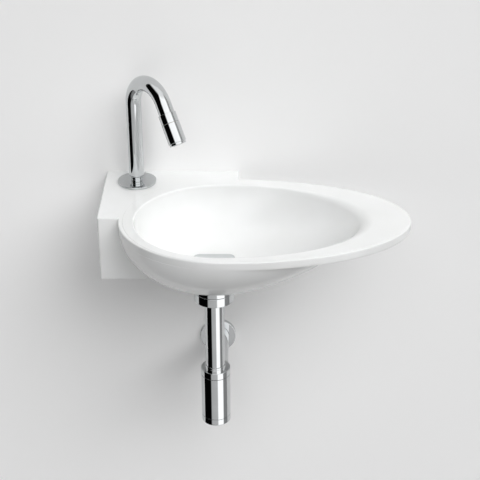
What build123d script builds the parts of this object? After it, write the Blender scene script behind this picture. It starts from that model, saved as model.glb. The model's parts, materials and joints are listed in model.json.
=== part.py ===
from build123d import *
from math import cos, radians, sin
import os

# Wall-hung hand basin with a twist-sleeve cold tap, a free-flow waste and a bottle trap.
# The origin lies midway between the two wall fixings, on the face of the wall.
# +X runs along the wall towards the tip of the bowl, +Y goes into the wall and +Z is up.
# Every size is in millimetres.

os.makedirs("parts", exist_ok=True)

# General fits: threads, pushed-in pieces, turning pieces and faces that stay apart,
# and how far a cut runs past the face that it opens
thread_play = 0.05
slip_play = 0.1
turn_play = 0.05
face_gap = 0.3
cut_past = 1.0

# Basin: the block that hangs on the wall and carries the tap
basin_width = 402.8
block_width = 181.6
block_depth = 142.0
block_height = 90.8
block_wall = 12.0
back_wall = 11.0
cavity_corner = 3.0
block_corner = 3.0
block_edge = 1.8
block_foot_edge = 2.0
rim_above_fixings = 60.0

# Basin: the egg-shaped rim, whose table stands a little above the top of the block
rim_wall_gap = 26.3
rim_half_depth = 116.4
rim_left_inset = 27.8
rim_waist_inset = 167.8
rim_thickness = 11.4
rim_edge = 1.8
table_rise = 0.4
table_edge = 0.3
table_left = 5.8
table_right = 2.2
table_side = 2.5
table_waist_inset = 158.8

# Basin: the bowl's mouth, the roll of its lip as width and height, its hollow and its outside
mouth_left = 20.3
mouth_side = 16.7
mouth_right = 60.0
mouth_waist_inset = 158.8
mouth_from_wall = 145.2
left_roll_width = 2.0
left_roll_height = 2.0
side_roll_width = 2.5
side_roll_height = 2.5
right_roll_width = 12.0
right_roll_height = 7.0
bowl_depth = 73.5
bowl_outer_depth = 92.0
bowl_start = 6.0
bowl_inset = 0.25
rim_overhang = 62.8
floor_reach = 34.0
seat_reach = 29.0

# Waste outlet in the bowl
drain_inset = 149.3
drain_from_wall = 140.0
waste_hole_radius = 22.5
flange_radius = 26.0
flange_thickness = 2.0
flange_gasket = 1.0
waste_thread_radius = 20.95
waste_bore_radius = 18.2
waste_length = 41.0
hub_radius = 7.0
hub_length = 12.0
hub_drop = 12.0
arm_width = 3.0
arm_count = 3
cover_side = 54.7
cover_corner = 9.0
cover_thickness = 3.0
cover_edge = 0.6
cover_lift_gap = 2.0
stem_radius = 4.0
shoulder_radius = 5.5
nut_radius = 27.0
nut_chamfer = 0.6
seat_gasket = 1.5
seat_gasket_radius = 25.5
lock_nut_height = 13.5
tail_nut_floor = 2.0

# Trap
tube_radius = 13.0
tube_wall = 1.0
tube_flange_radius = 19.5
tube_flange_thickness = 2.0
tail_seal_thickness = 1.5
trap_top_below_rim = 233.0
bottle_radius = 20.0
bottle_wall = 1.5
bottle_height = 86.1
bottle_edge = 1.0
cap_height = 9.8
cup_height = 9.7
cup_floor = 2.0
tube_offset = 5.9
collar_radius = 14.0
collar_height = 9.0
collar_groove_height = 5.8
collar_groove_depth = 0.5
socket_depth = 8.0
inlet_seal_thickness = 1.0
dip_flange_thickness = 1.0
spigot_ring_height = 6.0
spigot_ring_wall = 1.6
bottle_seal = 0.5
dip_radius = 10.5
dip_wall = 1.0
dip_end_above_base = 22.0
pipe_radius = 16.0
pipe_wall = 1.0
pipe_below_trap_top = 32.0
pipe_past_wall = 45.0
insertion_mark_width = 0.8
insertion_mark_depth = 0.2
pipe_inside_bottle = 9.6
wall_plate_radius = 26.0
wall_plate_height = 6.0
wall_plate_round = 4.0

# Wall fixings
fixing_from_hollow = 14.8
fixing_hole_radius = 7.0
stud_radius = 5.0
stud_free_length = 25.0
stud_point = 1.0
stud_neck_radius = 4.2
stud_neck_length = 2.3
screw_start = 0.3
screw_radius = 4.8
screw_end = 55.0
screw_point_length = 8.0
screw_tip_radius = 0.8
sleeve_flange_radius = 11.0
sleeve_flange_thickness = 2.0
fixing_washer_radius = 10.0
fixing_washer_thickness = 2.0
fixing_nut_flats = 17.0
fixing_nut_height = 8.0

# Tap: base, neck and gooseneck, with heights above the ledge
tap_inset = 43.8
tap_from_wall = 34.5
tap_hole_radius = 17.5
rosette_radius = 26.0
rosette_height = 3.0
rosette_edge = 0.5
shank_radius = 12.0
shank_length = 26.0
tail_radius = 10.48
tail_length = 22.0
shank_bearing_depth = 30.0
shank_lower_bore = 8.0
base_gasket_inner = 19.5
base_gasket_outer = 24.0
base_gasket_thickness = 1.6
shank_washer_radius = 23.0
rubber_washer_thickness = 3.0
metal_washer_thickness = 1.5
shank_nut_flats = 36.0
shank_nut_height = 8.0
neck_radius = 8.0
neck_groove = 0.2
foot_height = 9.5
foot_round = 3.0
foot_thickness = 3.5
tap_spigot_radius = 6.0
tap_spigot_bore = 3.5
tap_spigot_depth = 36.0
plug_height = 9.0
spout_radius = 10.25
spout_wall = 1.5
column_height = 115.3
bend_radius = 36.0
bend_angle = 147.5
spout_heading = 50.0
spout_end = 20.0
oring_thickness = 1.1
oring_play = 0.03
upper_oring_depth = 8.0
lower_oring_depth = 16.0
clip_thickness = 1.0
clip_groove = 0.8
spigot_clip_radius = 7.6

# Tap: twist valve on the end of the spout, measured along the spout from the end of its bend
collar_start = 13.7
collar_end = 26.5
twist_collar_radius = 11.5
collar_edge = 0.4
core_start = 9.0
core_end = 38.0
core_radius = 8.5
journal_start = 27.0
journal_radius = 7.0
waterway_radius = 4.4
sleeve_oring_place = 30.5
sleeve_clip_radius = 8.4
disc_radius = 6.8
disc_thickness = 2.5
disc_film = 0.05
port_inner = 1.6
port_outer = 5.2
port_spread = 80.0
sleeve_radius = 11.7
sleeve_start = 26.7
sleeve_end = 52.6
sleeve_edge = 0.5
bearing_end = 34.0
sleeve_bore = 9.5
driver_lip = 0.5
driver_end = 47.0
aerator_washer_thickness = 1.5
aerator_washer_inner = 5.5
aerator_rim_radius = 10.8
aerator_rim_start = 52.8
aerator_end = 55.6
aerator_mouth = 6.9
aerator_insert_radius = 8.1
aerator_insert_wall = 1.7
aerator_plate = 1.5
aerator_lip = 1.0
aerator_hole = 0.65
aerator_row_step = 2.25

# Places that follow from the sizes above
rim_top = rim_above_fixings
ledge_top = rim_top - table_rise
block_left = -block_width / 2
block_bottom = ledge_top - block_height
rim_left = block_left + rim_left_inset
rim_right = block_left + basin_width
rim_waist = block_left + rim_waist_inset
rim_centre = -(rim_wall_gap + rim_half_depth)
fixing_spacing = block_width - 2 * (block_wall + fixing_from_hollow)
drain_x = block_left + drain_inset
drain_y = -drain_from_wall
floor_z = rim_top - bowl_depth
seat_z = rim_top - bowl_outer_depth
recess_z = floor_z - flange_thickness - flange_gasket
tap_x = block_left + tap_inset
tap_y = -tap_from_wall
bottle_y = drain_y + tube_offset
trap_top = rim_top - trap_top_below_rim
trap_base = trap_top - bottle_height
pipe_z = trap_top - pipe_below_trap_top


def upright(x, y, height=0.0):
    """Sketch plane on a vertical axis: its x is the radius and its y is the height."""
    return Plane(origin=(x, y, height), x_dir=(1, 0, 0), z_dir=(0, -1, 0))


def wallward(x, z):
    """Sketch plane on an axis into the wall: its x is the radius and its y runs to the wall."""
    return Plane(origin=(x, 0, z), x_dir=(1, 0, 0), z_dir=(0, 0, 1))


def turned(plane, *profile, mode=Mode.ADD):
    """Turn a closed profile of (radius, height) points about the plane's y axis."""
    with BuildSketch(plane) as section:
        with BuildLine():
            Polyline(*profile, close=True)
        make_face()
    revolve(section.sketch, axis=Axis(plane.origin, plane.y_dir), mode=mode)


def ring(plane, inner, outer, low, high, mode=Mode.ADD):
    """Turn a plain ring between two radii and two heights."""
    turned(plane, (inner, low), (outer, low), (outer, high), (inner, high), mode=mode)


def eased_ring(plane, inner, outer, low, high, edge):
    """Turn a ring whose two outer edges are chamfered."""
    turned(
        plane,
        (inner, low),
        (outer - edge, low),
        (outer, low + edge),
        (outer, high - edge),
        (outer - edge, high),
        (inner, high),
    )


def round_seal(plane, shaft_radius, height):
    """Turn an O-ring that lies in its groove on a shaft."""
    with BuildSketch(plane) as section:
        with Locations((shaft_radius - oring_thickness / 2 + oring_play, height)):
            Circle(oring_thickness / 2)
    revolve(section.sketch, axis=Axis(plane.origin, plane.y_dir))


def seal_groove(plane, shaft_radius, height):
    """Cut the square groove of an O-ring into a shaft."""
    half_width = oring_thickness / 2 + oring_play
    ring(
        plane,
        shaft_radius - oring_thickness,
        shaft_radius + oring_thickness,
        height - half_width,
        height + half_width,
        mode=Mode.SUBTRACT,
    )


def snap_ring(plane, inner, outer, low):
    """Turn a snap ring and cut the gap that lets it spread over its shaft."""
    ring(plane, inner, outer, low, low + clip_thickness)
    with Locations(Plane(plane.origin, plane.x_dir, plane.y_dir)):
        with Locations((outer, 0, low + clip_thickness / 2)):
            Box(outer * 2, inner / 2, clip_thickness * 2, mode=Mode.SUBTRACT)


def left_over(share, fall, swell):
    """Part of a bowl's reach that is left at a share of its depth."""
    return (1 - share**fall) ** (1 / swell)


def between(start, end, share):
    """Value at a share of the way from start to end."""
    return start + (end - start) * share


def egg(left, right, waist, half_depth, centre_y, height):
    """Horizontal egg: two half ellipses that meet at the waist."""
    with BuildSketch(Plane.XY.offset(height)) as outline:
        with BuildLine():
            EllipticalCenterArc((waist, centre_y), right - waist, half_depth, -90, arc_size=180)
            EllipticalCenterArc((waist, centre_y), waist - left, half_depth, 90, arc_size=180)
        make_face()
    return outline.sketch


def rolled(depth, width, height):
    """Extra reach where the lip rolls over into the hollow: a quarter of an ellipse."""
    return width * (1 - (1 - max(0, 1 - depth / height) ** 2) ** 0.5)


def bowl_section(mouth, curve, reach, top, bottom, level):
    """One egg of a bowl, between its mouth at level 0 and its base round the drain at level 1."""
    left, right, waist, half_depth, centre_y = mouth
    return egg(
        between(drain_x - reach, left, left_over(level, *curve["left"])),
        between(drain_x + reach, right, left_over(level, *curve["right"])),
        between(waist, drain_x, level),
        between(reach, half_depth, left_over(level, *curve["side"])),
        between(centre_y, drain_y, level),
        between(top, bottom, level),
    )


# Basin: rim slab with softened edges
rim_base = ledge_top - rim_thickness
with BuildPart() as rim_slab:
    extrude(
        egg(rim_left, rim_right, rim_waist, rim_half_depth, rim_centre, rim_base),
        amount=rim_thickness,
    )
    fillet(rim_slab.edges().filter_by(GeomType.ELLIPSE), rim_edge)

# Basin: the table of the rim, which stands a little above the slab and the block
with BuildPart() as rim_table:
    extrude(
        egg(
            rim_left + table_left,
            rim_right - table_right,
            block_left + table_waist_inset,
            rim_half_depth - table_side,
            rim_centre,
            ledge_top - rim_edge,
        ),
        amount=rim_edge + table_rise,
    )
    fillet(rim_table.faces().sort_by(Axis.Z)[-1].edges(), table_edge)

# Basin: outside of the bowl, from inside the rim slab down to the seat of the waste
outer_curve = {"left": (2.36, 1.35), "right": (1.47, 1.13), "side": (1.69, 1.5)}
outer_mouth = (
    rim_left + bowl_inset,
    rim_right - rim_overhang,
    rim_waist,
    rim_half_depth - bowl_inset,
    rim_centre,
)
with BuildPart() as bowl_outside:
    sections = []
    for level in (0, 0.05, 0.12, 0.22, 0.34, 0.47, 0.61, 0.74, 0.85, 0.93, 0.98, 1):
        sections.append(
            bowl_section(
                outer_mouth, outer_curve, seat_reach, rim_top - bowl_start, seat_z, level
            )
        )
    loft(sections)

# Basin: the hollow that holds water
inner_curve = {"left": (2.4, 2.2), "right": (1.2, 1.65), "side": (1.5, 2.0)}
with BuildPart() as bowl_hollow:
    sections = []
    for level in (0, 0.005, 0.015, 0.032, 0.06, 0.1, 0.2, 0.34, 0.5, 0.65, 0.79, 0.9, 0.97, 1):
        depth = bowl_depth * level
        mouth = (
            rim_left + mouth_left - rolled(depth, left_roll_width, left_roll_height),
            rim_right - mouth_right + rolled(depth, right_roll_width, right_roll_height),
            block_left + mouth_waist_inset,
            rim_half_depth - mouth_side + rolled(depth, side_roll_width, side_roll_height),
            -mouth_from_wall,
        )
        sections.append(
            bowl_section(mouth, inner_curve, floor_reach, rim_top, floor_z, level)
        )
    loft(sections)

# Basin: block, open from below, with the rim and the bowl joined on
with BuildPart() as basin:
    with BuildSketch(Plane.XY.offset(block_bottom)):
        with Locations((0, -block_depth / 2)):
            Rectangle(block_width, block_depth)
    extrude(amount=block_height)
    fillet(basin.edges().filter_by(Axis.Z).group_by(Axis.Y)[0], block_corner)
    fillet(basin.faces().sort_by(Axis.Z)[-1].edges(), block_edge)
    fillet(basin.faces().sort_by(Axis.Z)[0].edges(), block_foot_edge)
    cavity_depth = block_depth - back_wall - block_wall
    with BuildSketch(Plane.XY.offset(block_bottom)):
        with Locations((0, -back_wall - cavity_depth / 2)):
            RectangleRounded(block_width - 2 * block_wall, cavity_depth, cavity_corner)
    extrude(amount=block_height - block_wall, mode=Mode.SUBTRACT)
    add(bowl_outside.part)
    add(rim_slab.part)
    add(rim_table.part)
    add(bowl_hollow.part, mode=Mode.SUBTRACT)
    drain_axis = upright(drain_x, drain_y)
    ring(drain_axis, 0, flange_radius + face_gap, recess_z, rim_top, mode=Mode.SUBTRACT)
    ring(drain_axis, 0, waste_hole_radius, seat_z - cut_past, recess_z + cut_past, mode=Mode.SUBTRACT)
    tap_axis = upright(tap_x, tap_y, ledge_top)
    ring(tap_axis, 0, tap_hole_radius, -block_wall - cut_past, cut_past, mode=Mode.SUBTRACT)
    with BuildSketch(Plane.XZ.offset(-cut_past)):
        with GridLocations(fixing_spacing, 1, 2, 1):
            Circle(fixing_hole_radius)
    extrude(amount=back_wall + 2 * cut_past, mode=Mode.SUBTRACT)
basin.part.label = "basin"
export_step(basin.part, "parts/basin.step")

# Wall fixings: two hanger bolts, with a machine thread in front and a wood screw in the wall,
# each with a sleeve, a washer and a nut
fixing_places = (-fixing_spacing / 2, fixing_spacing / 2)
sleeve_face = -back_wall - sleeve_flange_thickness
washer_face = sleeve_face - fixing_washer_thickness

with BuildPart() as wall_studs:
    for x in fixing_places:
        turned(
            wallward(x, 0),
            (0, -stud_free_length),
            (stud_radius - stud_point, -stud_free_length),
            (stud_radius, stud_point - stud_free_length),
            (stud_radius, screw_start - stud_neck_length),
            (stud_neck_radius, screw_start - stud_neck_length),
            (stud_neck_radius, screw_start),
            (screw_radius, screw_start),
            (screw_radius, screw_end - screw_point_length),
            (screw_tip_radius, screw_end),
            (0, screw_end),
        )
wall_studs.part.label = "wall_studs"
export_step(wall_studs.part, "parts/wall_studs.step")

with BuildPart() as wall_sleeves:
    for x in fixing_places:
        bore = stud_radius + slip_play
        ring(wallward(x, 0), bore, fixing_hole_radius - slip_play, sleeve_face, -slip_play)
        ring(wallward(x, 0), bore, sleeve_flange_radius, sleeve_face, -back_wall)
wall_sleeves.part.label = "wall_sleeves"
export_step(wall_sleeves.part, "parts/wall_sleeves.step")

with BuildPart() as wall_washers:
    for x in fixing_places:
        bore = stud_radius + slip_play
        ring(wallward(x, 0), bore, fixing_washer_radius, washer_face, sleeve_face)
wall_washers.part.label = "wall_washers"
export_step(wall_washers.part, "parts/wall_washers.step")

with BuildPart() as wall_nuts:
    with BuildSketch(Plane.XZ.offset(-washer_face)):
        with GridLocations(fixing_spacing, 1, 2, 1):
            RegularPolygon(fixing_nut_flats / 2, 6, major_radius=False)
            Circle(stud_radius + thread_play, mode=Mode.SUBTRACT)
    extrude(amount=fixing_nut_height)
wall_nuts.part.label = "wall_nuts"
export_step(wall_nuts.part, "parts/wall_nuts.step")

# Tap base: round plate with a threaded shank through the ledge
bearing_bore = tap_spigot_radius + turn_play
gasket_seat = base_gasket_thickness
with BuildPart() as tap_base:
    turned(
        tap_axis,
        (bearing_bore, rosette_height),
        (rosette_radius - rosette_edge, rosette_height),
        (rosette_radius, rosette_height - rosette_edge),
        (rosette_radius, face_gap),
        (base_gasket_outer + face_gap, face_gap),
        (base_gasket_outer + face_gap, gasket_seat),
        (base_gasket_inner - face_gap, gasket_seat),
        (base_gasket_inner - face_gap, face_gap),
        (shank_radius, face_gap),
        (shank_radius, -shank_length),
        (tail_radius, -shank_length),
        (tail_radius, -shank_length - tail_length),
        (shank_lower_bore, -shank_length - tail_length),
        (shank_lower_bore, -shank_bearing_depth),
        (bearing_bore, -shank_bearing_depth),
    )
tap_base.part.label = "tap_base"
export_step(tap_base.part, "parts/tap_base.step")

with BuildPart() as base_gasket:
    ring(tap_axis, base_gasket_inner, base_gasket_outer, 0, base_gasket_thickness)
base_gasket.part.label = "base_gasket"
export_step(base_gasket.part, "parts/base_gasket.step")

ledge_underside = -block_wall
metal_washer_top = ledge_underside - rubber_washer_thickness
shank_nut_top = metal_washer_top - metal_washer_thickness
washer_bore = shank_radius + face_gap
with BuildPart() as shank_rubber_washer:
    ring(tap_axis, washer_bore, shank_washer_radius, metal_washer_top, ledge_underside)
shank_rubber_washer.part.label = "shank_rubber_washer"
export_step(shank_rubber_washer.part, "parts/shank_rubber_washer.step")

with BuildPart() as shank_washer:
    ring(tap_axis, washer_bore, shank_washer_radius, shank_nut_top, metal_washer_top)
shank_washer.part.label = "shank_washer"
export_step(shank_washer.part, "parts/shank_washer.step")

with BuildPart() as shank_nut:
    with BuildSketch(Plane((tap_x, tap_y, ledge_top + shank_nut_top))):
        RegularPolygon(shank_nut_flats / 2, 6, major_radius=False)
        Circle(shank_radius + thread_play, mode=Mode.SUBTRACT)
    extrude(amount=-shank_nut_height)
shank_nut.part.label = "shank_nut"
export_step(shank_nut.part, "parts/shank_nut.step")

# Swivel: a slim ring, and a spigot that turns in the tap base and closes the foot of the spout
with BuildPart() as neck_ring:
    neck_middle = (rosette_height + foot_height) / 2
    ring(tap_axis, bearing_bore, neck_radius, rosette_height + slip_play, foot_height)
    turned(
        tap_axis,
        (neck_radius - neck_groove, neck_middle),
        (neck_radius + neck_groove, neck_middle - 2 * neck_groove),
        (neck_radius + neck_groove, neck_middle + 2 * neck_groove),
        mode=Mode.SUBTRACT,
    )
neck_ring.part.label = "neck_ring"
export_step(neck_ring.part, "parts/neck_ring.step")

foot_top = foot_height + foot_thickness
plug_radius = spout_radius - spout_wall - thread_play
spigot_clip_top = -shank_bearing_depth - slip_play
with BuildPart() as spigot:
    with BuildSketch(tap_axis):
        with BuildLine():
            Polyline(
                (tap_spigot_bore, -tap_spigot_depth),
                (tap_spigot_radius, -tap_spigot_depth),
                (tap_spigot_radius, foot_height),
                (spout_radius - foot_round, foot_height),
            )
            CenterArc((spout_radius - foot_round, foot_height + foot_round), foot_round, -90, 90)
            Polyline(
                (spout_radius, foot_height + foot_round),
                (spout_radius, foot_top),
                (plug_radius, foot_top),
                (plug_radius, foot_top + plug_height),
                (tap_spigot_bore, foot_top + plug_height),
                (tap_spigot_bore, -tap_spigot_depth),
            )
        make_face()
    revolve(axis=Axis(tap_axis.origin, tap_axis.y_dir))
    seal_groove(tap_axis, tap_spigot_radius, -upper_oring_depth)
    seal_groove(tap_axis, tap_spigot_radius, -lower_oring_depth)
    ring(
        tap_axis,
        tap_spigot_radius - clip_groove,
        tap_spigot_radius + cut_past,
        spigot_clip_top - clip_thickness,
        spigot_clip_top,
        mode=Mode.SUBTRACT,
    )
spigot.part.label = "spigot"
export_step(spigot.part, "parts/spigot.step")

with BuildPart() as spigot_orings:
    round_seal(tap_axis, tap_spigot_radius, -upper_oring_depth)
    round_seal(tap_axis, tap_spigot_radius, -lower_oring_depth)
spigot_orings.part.label = "spigot_orings"
export_step(spigot_orings.part, "parts/spigot_orings.step")

with BuildPart() as spigot_clip:
    snap_ring(
        tap_axis,
        tap_spigot_radius - clip_groove + thread_play,
        spigot_clip_radius,
        spigot_clip_top - clip_thickness,
    )
spigot_clip.part.label = "spigot_clip"
export_step(spigot_clip.part, "parts/spigot_clip.step")

# Gooseneck: a tube up the column, round the bend and down to the valve
heading = Vector(cos(radians(spout_heading)), -sin(radians(spout_heading)), 0)
across = Vector(-sin(radians(spout_heading)), -cos(radians(spout_heading)), 0)
spout_plane = Plane(origin=(tap_x, tap_y, ledge_top), x_dir=heading, z_dir=across)
droop = radians(180 - bend_angle)
bend_end = (bend_radius * (1 + cos(droop)), column_height + bend_radius * sin(droop))
spout_tip = (bend_end[0] + spout_end * sin(droop), bend_end[1] - spout_end * cos(droop))
with BuildPart() as spout:
    with BuildLine(spout_plane):
        Line((0, foot_top), (0, column_height))
        CenterArc((bend_radius, column_height), bend_radius, 180, -bend_angle)
        Line(bend_end, spout_tip)
    with BuildSketch(Plane((tap_x, tap_y, ledge_top + foot_top))):
        Circle(spout_radius)
        Circle(spout_radius - spout_wall, mode=Mode.SUBTRACT)
    sweep()
spout.part.label = "spout"
export_step(spout.part, "parts/spout.step")

# Twist valve: everything lies on the axis of the spout's end
valve_origin = spout_plane.from_local_coords((bend_end[0], bend_end[1], 0))
valve_along = heading * sin(droop) - Vector(0, 0, cos(droop))
valve_side = heading * cos(droop) + Vector(0, 0, sin(droop))
valve_axis = Plane(origin=valve_origin, x_dir=valve_side, z_dir=-across)


def valve_face(place):
    """Sketch plane square to the valve's axis."""
    return Plane(origin=valve_origin + valve_along * place, x_dir=valve_side, z_dir=valve_along)


def valve_disc(start, turn):
    """Ceramic disc with two opposite ports shaped as sectors."""
    with BuildSketch(valve_face(start)) as outline:
        Circle(disc_radius)
        for middle in (turn, turn + 180):
            first = middle - port_spread / 2
            near = Vector(cos(radians(first)), sin(radians(first)))
            far = near.rotate(Axis.Z, port_spread)
            with BuildLine():
                CenterArc((0, 0), port_outer, first, port_spread)
                CenterArc((0, 0), port_inner, first, port_spread)
                Line(near * port_inner, near * port_outer)
                Line(far * port_inner, far * port_outer)
            make_face(mode=Mode.SUBTRACT)
    extrude(outline.sketch, amount=disc_thickness)


with BuildPart() as spout_collar:
    core_bore = core_radius + thread_play
    turned(
        valve_axis,
        (spout_radius + thread_play, collar_start),
        (twist_collar_radius - collar_edge, collar_start),
        (twist_collar_radius, collar_start + collar_edge),
        (twist_collar_radius, collar_end - collar_edge),
        (twist_collar_radius - collar_edge, collar_end),
        (core_bore, collar_end),
        (core_bore, spout_end + slip_play),
        (spout_radius + thread_play, spout_end + slip_play),
    )
spout_collar.part.label = "spout_collar"
export_step(spout_collar.part, "parts/spout_collar.step")

sleeve_clip_start = bearing_end + slip_play
with BuildPart() as valve_core:
    turned(
        valve_axis,
        (waterway_radius, core_start),
        (spout_radius - spout_wall - thread_play, core_start),
        (spout_radius - spout_wall - thread_play, spout_end),
        (core_radius, spout_end),
        (core_radius, journal_start),
        (journal_radius, journal_start),
        (journal_radius, core_end),
        (waterway_radius, core_end),
    )
    seal_groove(valve_axis, journal_radius, sleeve_oring_place)
    ring(
        valve_axis,
        journal_radius - clip_groove,
        journal_radius + cut_past,
        sleeve_clip_start,
        sleeve_clip_start + clip_thickness,
        mode=Mode.SUBTRACT,
    )
valve_core.part.label = "valve_core"
export_step(valve_core.part, "parts/valve_core.step")

with BuildPart() as sleeve_oring:
    round_seal(valve_axis, journal_radius, sleeve_oring_place)
sleeve_oring.part.label = "sleeve_oring"
export_step(sleeve_oring.part, "parts/sleeve_oring.step")

with BuildPart() as sleeve_clip:
    snap_ring(
        valve_axis,
        journal_radius - clip_groove + thread_play,
        sleeve_clip_radius,
        sleeve_clip_start,
    )
sleeve_clip.part.label = "sleeve_clip"
export_step(sleeve_clip.part, "parts/sleeve_clip.step")

with BuildPart() as fixed_disc:
    valve_disc(core_end, 0)
fixed_disc.part.label = "fixed_disc"
export_step(fixed_disc.part, "parts/fixed_disc.step")

turning_disc_start = core_end + disc_thickness + disc_film
with BuildPart() as turning_disc:
    valve_disc(turning_disc_start, 90)
turning_disc.part.label = "turning_disc"
export_step(turning_disc.part, "parts/turning_disc.step")

driver_start = turning_disc_start + driver_lip
driver_floor = turning_disc_start + disc_thickness
with BuildPart() as disc_driver:
    turned(
        valve_axis,
        (disc_radius + slip_play, driver_start),
        (sleeve_bore - slip_play, driver_start),
        (sleeve_bore - slip_play, driver_end),
        (port_outer, driver_end),
        (port_outer, driver_floor),
        (disc_radius + slip_play, driver_floor),
    )
disc_driver.part.label = "disc_driver"
export_step(disc_driver.part, "parts/disc_driver.step")

with BuildPart() as twist_sleeve:
    bearing_start = journal_start + slip_play
    turned(
        valve_axis,
        (core_radius + face_gap, sleeve_start),
        (sleeve_radius - sleeve_edge, sleeve_start),
        (sleeve_radius, sleeve_start + sleeve_edge),
        (sleeve_radius, sleeve_end - sleeve_edge),
        (sleeve_radius - sleeve_edge, sleeve_end),
        (sleeve_bore, sleeve_end),
        (sleeve_bore, bearing_end),
        (journal_radius + turn_play, bearing_end),
        (journal_radius + turn_play, bearing_start),
        (core_radius + face_gap, bearing_start),
    )
twist_sleeve.part.label = "twist_sleeve"
export_step(twist_sleeve.part, "parts/twist_sleeve.step")

aerator_start = driver_end + aerator_washer_thickness
with BuildPart() as aerator_washer:
    ring(valve_axis, aerator_washer_inner, sleeve_bore - slip_play, driver_end, aerator_start)
aerator_washer.part.label = "aerator_washer"
export_step(aerator_washer.part, "parts/aerator_washer.step")

insert_bore = aerator_insert_radius + slip_play
insert_end = aerator_end - aerator_lip
with BuildPart() as aerator_housing:
    turned(
        valve_axis,
        (insert_bore, aerator_start),
        (sleeve_bore - thread_play, aerator_start),
        (sleeve_bore - thread_play, aerator_rim_start),
        (aerator_rim_radius, aerator_rim_start),
        (aerator_rim_radius, aerator_end - collar_edge),
        (aerator_rim_radius - collar_edge, aerator_end),
        (aerator_mouth, aerator_end),
        (aerator_mouth, insert_end),
        (insert_bore, insert_end),
    )
aerator_housing.part.label = "aerator_housing"
export_step(aerator_housing.part, "parts/aerator_housing.step")

with BuildPart() as aerator_insert:
    insert_inside = aerator_insert_radius - aerator_insert_wall
    ring(valve_axis, insert_inside, aerator_insert_radius, aerator_start, insert_end)
    with BuildSketch(valve_face(insert_end - 2 * aerator_plate)):
        Circle(insert_inside + thread_play)
        Circle(aerator_hole, mode=Mode.SUBTRACT)
        for row in (1, 2):
            with PolarLocations(row * aerator_row_step, 6 * row):
                Circle(aerator_hole, mode=Mode.SUBTRACT)
    extrude(amount=aerator_plate)
aerator_insert.part.label = "aerator_insert"
export_step(aerator_insert.part, "parts/aerator_insert.step")

# Waste: plate cover, grated outlet, its seals and the two nuts under the bowl
cover_underside = floor_z + cover_lift_gap
hub_top = floor_z - hub_drop
hub_base = hub_top - hub_length
seal_height = (hub_top + hub_base) / 2
with BuildPart() as waste_cover:
    with BuildSketch(Plane((drain_x, drain_y, cover_underside))):
        RectangleRounded(cover_side, cover_side, cover_corner)
    extrude(amount=cover_thickness)
    fillet(waste_cover.faces().sort_by(Axis.Z)[-1].edges(), cover_edge)
    ring(drain_axis, 0, stem_radius, hub_base, cover_underside + cover_edge)
    ring(drain_axis, 0, shoulder_radius, hub_top + slip_play, cover_underside + cover_edge)
    seal_groove(drain_axis, stem_radius, seal_height)
waste_cover.part.label = "waste_cover"
export_step(waste_cover.part, "parts/waste_cover.step")

with BuildPart() as cover_oring:
    round_seal(drain_axis, stem_radius, seal_height)
cover_oring.part.label = "cover_oring"
export_step(cover_oring.part, "parts/cover_oring.step")

waste_end = floor_z - waste_length
with BuildPart() as waste_body:
    flange_underside = floor_z - flange_thickness
    turned(
        drain_axis,
        (waste_bore_radius, waste_end),
        (waste_thread_radius, waste_end),
        (waste_thread_radius, flange_underside),
        (flange_radius, flange_underside),
        (flange_radius, floor_z),
        (waste_thread_radius, floor_z),
        (waste_bore_radius, floor_z - flange_thickness),
    )
    with BuildSketch(Plane((drain_x, drain_y, hub_top))):
        Circle(hub_radius)
        with PolarLocations((hub_radius + waste_bore_radius) / 2, arm_count):
            Rectangle(waste_bore_radius - hub_radius + arm_width, arm_width)
        Circle(stem_radius + turn_play, mode=Mode.SUBTRACT)
    extrude(amount=-hub_length)
waste_body.part.label = "waste_body"
export_step(waste_body.part, "parts/waste_body.step")

gasket_bore = waste_thread_radius + face_gap
with BuildPart() as waste_gasket_upper:
    ring(drain_axis, gasket_bore, flange_radius, recess_z, recess_z + flange_gasket)
waste_gasket_upper.part.label = "waste_gasket_upper"
export_step(waste_gasket_upper.part, "parts/waste_gasket_upper.step")

lock_nut_top = seat_z - seat_gasket
with BuildPart() as waste_gasket_lower:
    ring(drain_axis, gasket_bore, seat_gasket_radius, lock_nut_top, seat_z)
waste_gasket_lower.part.label = "waste_gasket_lower"
export_step(waste_gasket_lower.part, "parts/waste_gasket_lower.step")

nut_bore = waste_thread_radius + thread_play
lock_nut_base = lock_nut_top - lock_nut_height
with BuildPart() as waste_nut:
    eased_ring(drain_axis, nut_bore, nut_radius, lock_nut_base, lock_nut_top, nut_chamfer)
waste_nut.part.label = "waste_nut"
export_step(waste_nut.part, "parts/waste_nut.step")

tube_top = waste_end - tail_seal_thickness
tube_flange_base = tube_top - tube_flange_thickness
tail_nut_base = tube_flange_base - tail_nut_floor
with BuildPart() as tail_nut:
    tail_nut_top = lock_nut_base - face_gap
    eased_ring(
        drain_axis, tube_radius + face_gap, nut_radius, tail_nut_base, tail_nut_top, nut_chamfer
    )
    ring(drain_axis, 0, nut_bore, tube_flange_base, tail_nut_top + cut_past, mode=Mode.SUBTRACT)
tail_nut.part.label = "tail_nut"
export_step(tail_nut.part, "parts/tail_nut.step")

with BuildPart() as tail_seal:
    ring(drain_axis, tube_radius, waste_thread_radius - slip_play, tube_top, waste_end)
tail_seal.part.label = "tail_seal"
export_step(tail_seal.part, "parts/tail_seal.step")

# Trap: inlet tube and collar, capped bottle with a dip tube, and the outlet to the wall
socket_floor = trap_top - socket_depth
dip_top = socket_floor + dip_flange_thickness
tube_end = dip_top + inlet_seal_thickness
with BuildPart() as inlet_tube:
    ring(drain_axis, tube_radius - tube_wall, tube_radius, tube_end, tube_top)
    ring(drain_axis, tube_radius - tube_wall, tube_flange_radius, tube_flange_base, tube_top)
inlet_tube.part.label = "inlet_tube"
export_step(inlet_tube.part, "parts/inlet_tube.step")

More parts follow.
